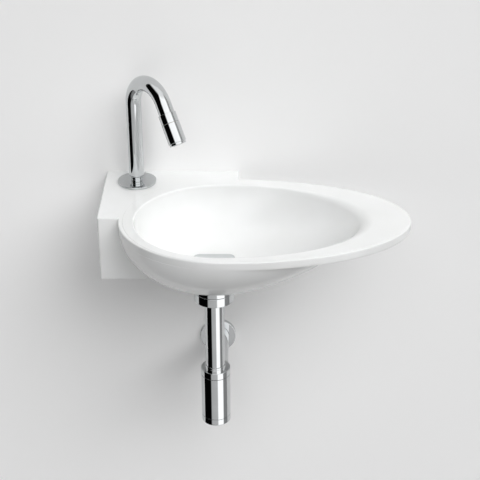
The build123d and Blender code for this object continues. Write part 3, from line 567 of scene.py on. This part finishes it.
    # block, open from below
    half, depth = shape["blockWidth"] / 2, shape["blockDepth"]
    foot = ledge - shape["blockHeight"]
    radii = (shape["cornerRadius"], shape["cornerRadius"], shape["backCorner"], shape["backCorner"])
    levels = quarter(shape["footEdge"], foot, rising=False) + [(0, foot + shape["footEdge"] + 0.3)]
    levels += [(0, ledge - shape["topEdge"] - 0.3)] + quarter(shape["topEdge"], ledge, rising=True)
    block = plateMesh("block", (-half, -depth), (half, 0), radii, levels)
    wallThickness = shape["blockWall"]
    room = shape["cavityCorner"]
    cavity = plateMesh("cavity", (-half + wallThickness, -depth + wallThickness),
                       (half - wallThickness, -shape["backWall"]), (room,) * 4,
                       [(0, foot - 5), (0, ledge - wallThickness)])
    tapHole = rodMesh("tapHole", tapFoot, up, shape["tapHole"], -20, 5, 96)
    cuts = [(cavity, "DIFFERENCE"), (tapHole, "DIFFERENCE"), (bowlRoom, "DIFFERENCE")]
    for x in (-shape["fixingSpacing"] / 2, shape["fixingSpacing"] / 2):
        hole = rodMesh("fixingHole", (x, 0, 0), intoWall, shape["fixingHole"], -15, 5, 64)
        cuts.append((hole, "DIFFERENCE"))
    return combined("basinCasting", block, cuts + [(shell, "UNION")])


addPiece("basin_casting", basinMesh(basinShape), ["basin"], china)
say("basin")


# Tap: rosette and shank, neck ring, foot and gooseneck, with heights above the ledge

tapShape = {
    "rosetteRadius": 26.0, "rosetteHeight": 3.0, "rosetteEdge": 0.5, "gap": 0.3,
    "gasketInner": 19.2, "gasketOuter": 24.3, "gasketSeat": 1.6,
    "shankRadius": 12.0, "shankLength": 26.0, "tailRadius": 10.48, "tailLength": 22.0,
    "bearingBore": 6.05, "lowerBore": 8.0, "bearingDepth": 30.0,
    "tailThread": {"radius": 10.48, "pitch": 1.814, "depth": 1.0, "low": -47.4, "high": -27.0},
    "neckRadius": 8.0, "neckLow": 3.1, "neckHigh": 9.5, "neckEase": 0.25, "neckLine": 6.25, "lineDepth": 0.2,
    "footLow": 9.5, "footRound": 3.0, "footHigh": 13.0,
    "spigotRadius": 6.0, "spigotBore": 3.5, "spigotDepth": 36.0, "plugRadius": 8.7, "plugHeight": 9.0,
    "sealDepths": (8.0, 16.0), "grooveDepth": 1.1, "grooveHalf": 0.58, "clipLow": -31.1, "clipHigh": -30.1,
    "clipGroove": 0.8, "tubeRadius": 10.25, "tubeWall": 1.5, "endLength": 20.0, "bendRows": 96, "around": 144,
}


def tapBaseMesh(shape):
    gap, shank, tail = shape["gap"], shape["shankRadius"], shape["tailRadius"]
    top, radius = shape["rosetteHeight"], shape["rosetteRadius"]
    end = -shape["shankLength"] - shape["tailLength"]
    corners = [
        (shape["bearingBore"], top, 0.2), (radius, top, shape["rosetteEdge"]), (radius, gap, 0.25),
        (shape["gasketOuter"], gap, 0), (shape["gasketOuter"], shape["gasketSeat"], 0),
        (shape["gasketInner"], shape["gasketSeat"], 0), (shape["gasketInner"], gap, 0), (shank, gap, 0),
        (shank, -shape["shankLength"], 0.6), (tail, -shape["shankLength"], 0),
        (tail, end, 0.8), (shape["lowerBore"], end, 0.4), (shape["lowerBore"], -shape["bearingDepth"], 0),
        (shape["bearingBore"], -shape["bearingDepth"], 0),
    ]
    return turnedMesh("tapBase", tapFoot, up, corners, 192, (shape["tailThread"],))


def neckMesh(shape):
    radius, bore, ease = shape["neckRadius"], shape["bearingBore"], shape["neckEase"]
    line, depth = shape["neckLine"], shape["lineDepth"]
    return turnedMesh("tapNeck", tapFoot, up, [
        (bore, shape["neckLow"], 0), (radius, shape["neckLow"], ease), (radius, line - depth, 0),
        (radius - depth, line, 0), (radius, line + depth, 0), (radius, shape["neckHigh"], ease),
        (bore, shape["neckHigh"], 0)], 144)


def spigotMesh(shape):
    radius, bore, depth = shape["spigotRadius"], shape["spigotBore"], shape["spigotDepth"]
    low, high, tube = shape["footLow"], shape["footHigh"], shape["tubeRadius"]
    groove, half = radius - shape["grooveDepth"], shape["grooveHalf"]
    top = high + shape["plugHeight"]
    corners = [(bore, -depth, 0), (radius, -depth, 0.4)]
    clip = radius - shape["clipGroove"]
    corners += [(radius, shape["clipLow"], 0), (clip, shape["clipLow"], 0), (clip, shape["clipHigh"], 0),
                (radius, shape["clipHigh"], 0)]
    for seal in sorted(shape["sealDepths"], reverse=True):
        corners += [(radius, -seal - half, 0), (groove, -seal - half, 0), (groove, -seal + half, 0),
                    (radius, -seal + half, 0)]
    corners += [(radius, low, 0), (tube, low, shape["footRound"]), (tube, high, 0), (shape["plugRadius"], high, 0),
                (shape["plugRadius"], top, 0.4), (bore, top, 0.3)]
    return turnedMesh("tapFoot", tapFoot, up, corners, shape["around"])


def gooseneckMesh(shape):
    # tube carried along a line, an arc and a line in the plane of the spout:
    # each ring is centre + radius * (cos a * outwards + sin a * across)
    heading = np.array((valveAlong[0], valveAlong[1], 0.0))
    heading /= np.linalg.norm(heading)
    across = np.cross(heading, up)
    droop = math.acos(-valveAlong[2])
    bendRadius = (valveFoot - tapFoot) @ heading / (1 + math.cos(droop))
    column = (valveFoot - tapFoot)[2] - bendRadius * math.sin(droop)
    turn = np.linspace(0, math.pi - droop, shape["bendRows"])
    rise = np.array((0, 0.05, 0.3, 1, 2, 3, 3.95, 3.999)) / 4
    upright = tapFoot + up * (shape["footHigh"] + (column - shape["footHigh"]) * rise[:-1, None])
    bend = tapFoot + up * column + bendRadius * ((1 - np.cos(turn))[:, None] * heading + np.sin(turn)[:, None] * up)
    fall = np.array((0.1, 5, 10, 15, 19.9, 20)) / 20 * shape["endLength"]
    centre = np.concatenate((upright, bend, valveFoot + fall[:, None] * valveAlong))
    turnAt = np.concatenate((np.zeros(len(upright)), turn, np.full(len(fall), math.pi - droop)))
    outwards = -np.cos(turnAt)[:, None] * heading + np.sin(turnAt)[:, None] * up
    angle = np.linspace(0, 2 * math.pi, shape["around"], endpoint=False)[None, :, None]
    ring = np.cos(angle) * outwards[:, None, :] + np.sin(angle) * across
    outer = centre[:, None, :] + shape["tubeRadius"] * ring
    inner = centre[:, None, :] + (shape["tubeRadius"] - shape["tubeWall"]) * ring
    return closedMesh("gooseneck", np.concatenate((outer, inner[::-1])), closedRows=True)


addPiece("tap_rosette", tapBaseMesh(tapShape), ["tap_base"], chrome)
addPiece("tap_neck", neckMesh(tapShape), ["neck_ring"], chrome)
addPiece("tap_foot", spigotMesh(tapShape), ["spigot"], chrome)
addPiece("tap_gooseneck", gooseneckMesh(tapShape), ["spout"], chrome)
say("gooseneck")


# Twist valve on the end of the spout, with heights along its axis

valveShape = {
    "collar": [(10.3, 13.7, 0), (11.5, 13.7, 0.35), (11.5, 26.5, 0.35), (8.55, 26.5, 0), (8.55, 20.1, 0),
               (10.3, 20.1, 0)],
    "sleeve": [(8.8, 26.7, 0), (11.7, 26.7, 0.4), (11.7, 52.6, 0.5), (9.5, 52.6, 0.15), (9.5, 34.0, 0),
               (7.05, 34.0, 0), (7.05, 27.1, 0), (8.8, 27.1, 0)],
    "mouth": [(8.2, 48.5, 0), (9.45, 48.5, 0), (9.45, 52.8, 0), (10.8, 52.8, 0.2), (10.8, 55.6, 0.5),
              (6.9, 55.6, 0.3), (6.9, 54.6, 0), (8.2, 54.6, 0)],
}
addPiece("valve_collar", turnedMesh("valveCollar", valveFoot, valveAlong, valveShape["collar"]),
         ["spout_collar"], chrome)
addPiece("valve_sleeve", turnedMesh("valveSleeve", valveFoot, valveAlong, valveShape["sleeve"]),
         ["twist_sleeve"], chrome)
addPiece("valve_mouth", turnedMesh("valveMouth", valveFoot, valveAlong, valveShape["mouth"]),
         ["aerator_housing"], chrome)
say("valve")


# Waste: plate cover on its stem, flanged outlet with hub and arms, and the two round nuts

wasteShape = {
    "coverSide": 54.7, "coverCorner": 9.0, "coverLow": 2.0, "coverHigh": 5.0, "coverEdge": 0.7,
    "stemRadius": 4.0, "stemEnd": -24.0, "stemTop": 3.5, "shoulderRadius": 5.5, "shoulderLow": -11.9,
    "sealHeight": -18.0, "sealHalf": 0.58, "sealGroove": 1.1,
    "flangeRadius": 26.0, "flangeThickness": 2.0, "threadRadius": 20.95, "bore": 18.2, "end": -41.0,
    "hubRadius": 7.0, "hubHigh": -12.0, "hubLow": -24.0, "hubBore": 4.05, "armWidth": 3.0, "arms": 3,
    "nutRadius": 27.0, "nutBore": 21.0, "nutEdge": 0.6, "tailBore": 13.3, "tailFloor": 2.0,
}


def coverMesh(shape):
    half = shape["coverSide"] / 2
    floor = drain[2]
    levels = quarter(0.3, floor + shape["coverLow"], rising=False)
    levels += quarter(shape["coverEdge"], floor + shape["coverHigh"], rising=True)
    low, high = drain[:2] - half, drain[:2] + half
    plate = plateMesh("coverPlate", low, high, (shape["coverCorner"],) * 4, levels)
    stem, shoulder, end = shape["stemRadius"], shape["shoulderRadius"], shape["stemEnd"]
    seal, half = shape["sealHeight"], shape["sealHalf"]
    groove = stem - shape["sealGroove"]
    stemMesh = turnedMesh("coverStem", drain, up, [
        (0, end, 0), (stem, end, 0.6), (stem, seal - half, 0), (groove, seal - half, 0), (groove, seal + half, 0),
        (stem, seal + half, 0), (stem, shape["shoulderLow"], 0), (shoulder, shape["shoulderLow"], 0.3),
        (shoulder, shape["stemTop"], 0), (0, shape["stemTop"], 0)], 96)
    return combined("wasteCover", plate, [(stemMesh, "UNION")])


def outletMesh(shape):
    thread, bore, flange = shape["threadRadius"], shape["bore"], shape["flangeRadius"]
    under = -shape["flangeThickness"]
    tube = turnedMesh("wasteTube", drain, up, [
        (bore, shape["end"], 0.3), (thread, shape["end"], 0.6), (thread, under, 0), (flange, under, 0),
        (flange, 0, 0.5), (thread, 0, 0.4), (bore, under, 0.4)], 160)
    parts = [(turnedMesh("wasteHub", drain, up, [
        (0, shape["hubLow"], 0), (shape["hubRadius"], shape["hubLow"], 0.4),
        (shape["hubRadius"], shape["hubHigh"], 0.4), (0, shape["hubHigh"], 0)], 96), "UNION")]
    reach = (shape["hubRadius"] - 2, thread - 1)
    half = shape["armWidth"] / 2
    for arm in range(shape["arms"]):
        angle = 2 * math.pi * arm / shape["arms"]
        bar = boxMesh("wasteArm", (reach[0], -half, shape["hubLow"] + 0.01), (reach[1], half, shape["hubHigh"] - 0.01))
        bar.transform(turnAbout(drain, angle))
        parts.append((bar, "UNION"))
    hubBore = rodMesh("hubBore", drain, up, shape["hubBore"], shape["hubLow"] - 2, shape["hubHigh"] + 2, 96)
    parts.append((hubBore, "DIFFERENCE"))
    return combined("wasteOutlet", tube, parts)


def turnAbout(place, angle):
    # matrix that turns a mesh about the upright axis and then carries it to a place
    turn = Euler((0, 0, angle)).to_matrix().to_4x4()
    turn.translation = Vector(place * mm)
    return turn


def nutMesh(shape, name, low, high, bore, seat):
    # round nut with its thread above the seat, and a narrower hole for the tube below it
    edge, radius, thread = shape["nutEdge"], shape["nutRadius"], shape["nutBore"]
    corners = [(bore, low, 0.2), (radius, low, edge), (radius, high, edge), (thread, high, 0.2)]
    if seat > low:
        corners += [(thread, seat, 0), (bore, seat, 0)]
    return turnedMesh(name, (drain[0], drain[1], 0), up, corners, 192)


addPiece("waste_plate", coverMesh(wasteShape), ["waste_cover"], chrome)
addPiece("waste_outlet", outletMesh(wasteShape), ["waste_body"], chrome)
nutLow, nutHigh = lowest("waste_nut")[2], highest("waste_nut")[2]
addPiece("waste_lock_nut", nutMesh(wasteShape, "lockNut", nutLow, nutHigh, wasteShape["nutBore"], nutLow),
         ["waste_nut"], chrome)
tailLow, tailHigh = lowest("tail_nut")[2], highest("tail_nut")[2]
addPiece("waste_tail_nut", nutMesh(wasteShape, "tailNut", tailLow, tailHigh, wasteShape["tailBore"],
                                   tailLow + wasteShape["tailFloor"]), ["tail_nut"], chrome)
say("waste")


# Trap: tube, collar, capped bottle with its cup, and the pipe to the wall with its plate

trapShape = {
    "tubeRadius": 13.0, "tubeBore": 12.0, "tubeFlange": 19.5, "flangeThickness": 2.0,
    "collarRadius": 14.0, "grooveHeight": 5.8, "groove": 0.5, "collarBore": 13.05,
    "bottleRadius": 20.0, "bottleBore": 18.5, "bottleEdge": 0.6, "cupRound": 1.2, "socketDepth": 8.0,
    "ringRadius": 18.45, "ringBore": 16.85, "ringHeight": 6.0, "dipHole": 10.6, "cupFloor": 2.0,
    "pipeRadius": 16.0, "pipeBore": 15.0, "plateRadius": 26.0, "plateRound": 0.8, "plateBore": 16.1,
    "markHalf": 0.4, "markDepth": 0.2, "pipeSlack": 0.05,
}


def inletMesh(shape):
    top, end = highest("inlet_tube")[2], lowest("inlet_tube")[2]
    under = top - shape["flangeThickness"]
    return turnedMesh("inletTube", (drain[0], drain[1], 0), up, [
        (shape["tubeBore"], end, 0), (shape["tubeRadius"], end, 0.2), (shape["tubeRadius"], under, 0.4),
        (shape["tubeFlange"], under, 0), (shape["tubeFlange"], top, 0.2), (shape["tubeBore"], top, 0.2)], 160)


def collarMesh(shape):
    base, top = lowest("inlet_collar")[2], highest("inlet_collar")[2]
    radius, groove, line = shape["collarRadius"], shape["groove"], base + shape["grooveHeight"]
    return turnedMesh("inletCollar", (drain[0], drain[1], 0), up, [
        (shape["collarBore"], base, 0), (radius, base, 0.15), (radius, line - groove, 0.1),
        (radius - groove, line, 0.1), (radius, line + groove, 0.1), (radius, top, 0.5),
        (shape["collarBore"], top, 0.1)], 160)


def capMesh(shape, bottle):
    base, top = highest("cap_seal")[2], highest("bottle_cap")[2]
    radius = shape["bottleRadius"]
    cap = turnedMesh("bottleCap", bottle, up, [
        (0, base, 0), (shape["ringBore"], base, 0), (shape["ringBore"], base - shape["ringHeight"], 0.2),
        (shape["ringRadius"], base - shape["ringHeight"], 0.2), (shape["ringRadius"], base, 0),
        (radius, base, shape["bottleEdge"] / 2), (radius, top, shape["bottleEdge"]), (0, top, 0)], 192)
    axis = (drain[0], drain[1], 0)
    socket = rodMesh("capSocket", axis, up, shape["collarBore"], top - shape["socketDepth"], top + 1, 128)
    throat = rodMesh("capThroat", axis, up, shape["dipHole"], base - 1, top - 1, 96)
    return combined("bottleCap", cap, [(socket, "DIFFERENCE"), (throat, "DIFFERENCE")])


def bottleMesh(shape, bottle, pipeHeight):
    low, high = lowest("bottle_body")[2], highest("bottle_body")[2]
    wall = turnedMesh("bottleBody", bottle, up, [
        (shape["bottleBore"], low, 0.1), (shape["bottleRadius"], low, 0.15),
        (shape["bottleRadius"], high, 0.15), (shape["bottleBore"], high, 0.1)], 192)
    hole = rodMesh("pipeHole", (drain[0], bottle[1], pipeHeight), intoWall,
                   shape["pipeRadius"] + shape["pipeSlack"], 0, 30, 128)
    return combined("bottleBody", wall, [(hole, "DIFFERENCE")])


def cupMesh(shape, bottle):
    base, top = lowest("bottle_cup")[2], lowest("cup_seal")[2]
    floor = base + shape["cupFloor"]
    rim = top + shape["ringHeight"]
    return turnedMesh("bottleCup", bottle, up, [
        (0, base, 0), (shape["bottleRadius"], base, shape["cupRound"]), (shape["bottleRadius"], top, 0.15),
        (shape["ringRadius"], top, 0), (shape["ringRadius"], rim, 0.2), (shape["ringBore"], rim, 0.2),
        (shape["ringBore"], floor, 1.0), (0, floor, 0)], 192)


def pipeMesh(shape):
    # pipe into the wall, with the ring that marks how far it goes in at the wall's face
    start, end = lowest("outlet_pipe")[1], highest("outlet_pipe")[1]
    bore, radius, half, depth = shape["pipeBore"], shape["pipeRadius"], shape["markHalf"], shape["markDepth"]
    return turnedMesh("outletPipe", pipeFoot, intoWall, [
        (bore, start, 0), (radius, start, 0.2), (radius, -half, 0), (radius - depth, -half, 0),
        (radius - depth, half, 0), (radius, half, 0), (radius, end, 0.4), (bore, end, 0.3)], 160)


def wallPlateMesh(shape):
    face, bore, radius = lowest("wall_plate")[1], shape["plateBore"], shape["plateRadius"]
    return turnedMesh("wallPlate", pipeFoot, intoWall, [
        (bore, 0, 0.2), (bore, face, 0.5), (radius, face, shape["plateRound"]), (radius, 0, 0.2)], 192)


bottleFoot = np.array((*centreOf("bottle_cup")[:2], 0.0))
pipeHeight = centreOf("outlet_pipe")[2]
pipeFoot = (drain[0], 0, pipeHeight)
addPiece("trap_inlet", inletMesh(trapShape), ["inlet_tube"], chrome)
addPiece("trap_collar", collarMesh(trapShape), ["inlet_collar"], chrome)
addPiece("trap_cap", capMesh(trapShape, bottleFoot), ["bottle_cap"], chrome)
addPiece("trap_bottle", bottleMesh(trapShape, bottleFoot, pipeHeight), ["bottle_body"], chrome)
addPiece("trap_cup", cupMesh(trapShape, bottleFoot), ["bottle_cup"], chrome)
addPiece("trap_outlet", pipeMesh(trapShape), ["outlet_pipe"], chrome)
addPiece("trap_wall_plate", wallPlateMesh(trapShape), ["wall_plate"], chrome)
say("trap")


# Wall fixings: two hanger bolts, with a machine thread in front and a wood screw in the wall

studShape = {
    "corners": [(0, -25, 0), (4, -25, 0), (5, -24, 0), (5, -2, 0), (4.2, -2, 0), (4.2, 0.3, 0), (4.8, 0.3, 0),
                (4.8, 47, 0), (0.8, 55, 0), (0, 55, 0)],
    "machine": {"radius": 5.0, "pitch": 1.5, "depth": 0.75, "low": -24.5, "high": -1.6},
    "wood": {"radius": 4.8, "pitch": 4.0, "depth": 1.1, "low": 0.0, "high": 48.5},
}


def studsMesh(shape):
    pair = bmesh.new()
    for x in (-basinShape["fixingSpacing"] / 2, basinShape["fixingSpacing"] / 2):
        pair.from_mesh(turnedMesh("stud", (x, 0, 0), intoWall, shape["corners"], 48,
                                  (shape["machine"], shape["wood"])))
    mesh = bpy.data.meshes.new("wallStuds")
    pair.to_mesh(mesh)
    pair.free()
    return mesh


addPiece("fixing_studs", studsMesh(studShape), ["wall_studs"], zinc)
say("fixings")


# Camera, as the photograph was taken

view = {"place": (110.46, -1620.82, 825.77), "down": 28.55, "focalPixels": 1300.0, "frame": 480,
        "centre": (253.5, 244.7), "sensor": 36.0}
lens = bpy.data.cameras.new("camera")
lens.sensor_width = view["sensor"]
lens.lens = view["focalPixels"] / view["frame"] * view["sensor"]
lens.shift_x = (view["frame"] / 2 - view["centre"][0]) / view["frame"]
lens.shift_y = (view["centre"][1] - view["frame"] / 2) / view["frame"]
lens.clip_start, lens.clip_end = 0.05, 50
camera = bpy.data.objects.new("camera", lens)
camera.location = Vector(view["place"]) * mm
camera.rotation_euler = Euler((math.radians(90 - view["down"]), 0, 0))
scene.collection.objects.link(camera)
scene.camera = camera


# Studio: a pale wall that the basin hangs on, and a pale floor far below it

studio = {"wallColour": "fafafa", "floorColour": "fafafa", "behind": 0.2, "floorBelow": 850.0,
          "across": 4000.0, "wallTop": 2500.0, "floorOut": 4000.0}


def backdropMaterial(name, colour):
    # matt paint; seen from behind it lets the view through
    material = bpy.data.materials.new(name)
    material.use_nodes = True
    tree = material.node_tree
    tree.nodes.clear()
    paint = addNode(tree, "ShaderNodeBsdfDiffuse", {"Color": toLinear(colour)})
    clear = addNode(tree, "ShaderNodeBsdfTransparent")
    backFace = addNode(tree, "ShaderNodeNewGeometry").outputs["Backfacing"]
    mix = addNode(tree, "ShaderNodeMixShader", links={0: backFace, 1: paint.outputs[0], 2: clear.outputs[0]})
    addNode(tree, "ShaderNodeOutputMaterial", links={"Surface": mix.outputs[0]})
    return material


def addBackdrop(name, corners, colour, throwsLight):
    mesh = bpy.data.meshes.new(name)
    mesh.from_pydata([Vector(corner) * mm for corner in corners], [], [(0, 1, 2, 3)])
    mesh.materials.append(backdropMaterial(name + "Paint", colour))
    sheet = bpy.data.objects.new(name, mesh)
    scene.collection.objects.link(sheet)
    sheet.visible_shadow = False
    sheet.visible_diffuse = sheet.visible_glossy = throwsLight


floorHeight = rimTop - studio["floorBelow"]
half, behind, top, out = studio["across"] / 2, studio["behind"], studio["wallTop"], -studio["floorOut"]
addBackdrop("wall", ((-half, behind, floorHeight), (half, behind, floorHeight), (half, behind, top),
                     (-half, behind, top)), studio["wallColour"], throwsLight=True)
addBackdrop("floor", ((-half, out, floorHeight), (half, out, floorHeight), (half, behind, floorHeight),
                      (-half, behind, floorHeight)), studio["floorColour"], throwsLight=False)

# Light: far soft boxes, so that they light the wall evenly; in mirror surfaces the surrounding stands for them

lamps = {
    # direction from the basin, from the front towards the right and up, width and height as angles, brightness;
    # the back box reaches what faces the wall, because the wall throws no shadow
    "keyBox": {"turn": 38.0, "rise": 44.0, "wide": 36.0, "high": 36.0, "bright": 3.45},
    "wideBox": {"turn": 26.0, "rise": 44.0, "wide": 76.0, "high": 40.0, "bright": 1.72},
    "sideBox": {"turn": 90.0, "rise": 62.0, "wide": 40.0, "high": 40.0, "bright": 0.3},
    "lowCard": {"turn": -10.0, "rise": -15.0, "wide": 54.0, "high": 48.0, "bright": 0.8},
    "backBox": {"turn": 180.0, "rise": 25.0, "wide": 90.0, "high": 50.0, "bright": 0.85},
}
lampAim, lampAway = Vector((80.0, -100.0, 20.0)), 25000.0


def addLamp(name, look):
    turn, rise = math.radians(look["turn"]), math.radians(look["rise"])
    towards = Vector((math.sin(turn) * math.cos(rise), -math.cos(turn) * math.cos(rise), math.sin(rise)))
    light = bpy.data.lights.new(name, "AREA")
    light.shape = "RECTANGLE"
    light.size = 2 * lampAway * mm * math.tan(math.radians(look["wide"] / 2))
    light.size_y = 2 * lampAway * mm * math.tan(math.radians(look["high"] / 2))
    light.energy = look["bright"] * math.pi * light.size * light.size_y
    box = bpy.data.objects.new(name, light)
    box.location = (lampAim + towards * lampAway) * mm
    box.rotation_euler = towards.to_track_quat("Z", "Y").to_euler()
    box.visible_glossy = False
    scene.collection.objects.link(box)


for name, look in lamps.items():
    addLamp(name, look)

surround = {
    "backdrop": "e4e4e4",
    # grey of the surrounding by the height of the direction, from straight down to straight up
    "byHeight": ((0.0, "a0a0a0"), (0.18, "a0a0a0"), (0.25, "404040"), (1.0, "404040")),
    # what a mirror sees, by the direction round the object: the middle is the front
    "lowCards": ((0.0, "c8c8c8"), (0.2, "b8b8b8"), (0.225, "030303"), (0.395, "030303"), (0.41, "a0a0a0"),
                 (0.54, "a8a8a8"), (0.555, "ffffff"), (0.665, "ffffff"), (0.68, "787878"), (0.79, "787878"),
                 (0.81, "c0c0c0"), (1.0, "c8c8c8")),
    "highCards": ((0.0, "d0d0d0"), (0.2, "c8c8c8"), (0.225, "030303"), (0.42, "030303"), (0.445, "f4f4f4"),
                  (0.665, "ffffff"), (0.69, "909090"), (0.79, "909090"), (0.81, "d0d0d0"), (1.0, "d0d0d0")),
    "mirrorStrength": 1.65,
    # share of the high cards at each height, and share of both against the pale ceiling and grey floor
    "highShare": ((0.49, "000000"), (0.53, "ffffff")),
    "cardShare": ((0.12, "000000"), (0.19, "ffffff"), (0.85, "ffffff"), (0.93, "000000")),
    "farHeights": ((0.12, "787878"), (0.5, "a0a0a0"), (0.93, "d4d4d4")),
}


def buildWorld(look):
    world = bpy.data.worlds.new("studio")
    scene.world = world
    world.use_nodes = True
    tree = world.node_tree
    tree.nodes.clear()
    direction = addNode(tree, "ShaderNodeTexCoord").outputs["Generated"]
    split = addNode(tree, "ShaderNodeSeparateXYZ", links={0: direction})
    heightShare = addNode(tree, "ShaderNodeMapRange", {"From Min": -1.0, "From Max": 1.0},
                          {"Value": split.outputs["Z"]}).outputs["Result"]
    soft = addNode(tree, "ShaderNodeBackground", links={"Color": rampOf(tree, heightShare, look["byHeight"])})
    front = addNode(tree, "ShaderNodeMath", {"operation": "MULTIPLY", 1: -1.0}, {0: split.outputs["Y"]})
    turn = addNode(tree, "ShaderNodeMath", {"operation": "ARCTAN2"},
                   {0: split.outputs["X"], 1: front.outputs[0]})
    turnShare = addNode(tree, "ShaderNodeMapRange", {"From Min": -math.pi, "From Max": math.pi},
                        {"Value": turn.outputs[0]}).outputs["Result"]
    low, high = rampOf(tree, turnShare, look["lowCards"]), rampOf(tree, turnShare, look["highCards"])
    far = rampOf(tree, heightShare, look["farHeights"])
    cards = addNode(tree, "ShaderNodeMix", {"data_type": "RGBA"}, {
        0: rampOf(tree, heightShare, look["highShare"]), 6: low, 7: high})
    seen = addNode(tree, "ShaderNodeMix", {"data_type": "RGBA"}, {
        0: rampOf(tree, heightShare, look["cardShare"]), 6: far, 7: cards.outputs[2]})
    mirror = addNode(tree, "ShaderNodeBackground", {"Strength": look["mirrorStrength"]}, {"Color": seen.outputs[2]})
    rays = addNode(tree, "ShaderNodeLightPath")
    lit = addNode(tree, "ShaderNodeMixShader",
                  links={0: rays.outputs["Is Glossy Ray"], 1: soft.outputs[0], 2: mirror.outputs[0]})
    paper = addNode(tree, "ShaderNodeBackground", {"Color": toLinear(look["backdrop"])})
    final = addNode(tree, "ShaderNodeMixShader",
                    links={0: rays.outputs["Is Camera Ray"], 1: lit.outputs[0], 2: paper.outputs[0]})
    addNode(tree, "ShaderNodeOutputWorld", links={"Surface": final.outputs[0]})


buildWorld(surround)
scene.view_settings.view_transform = "Standard"
say("studio")
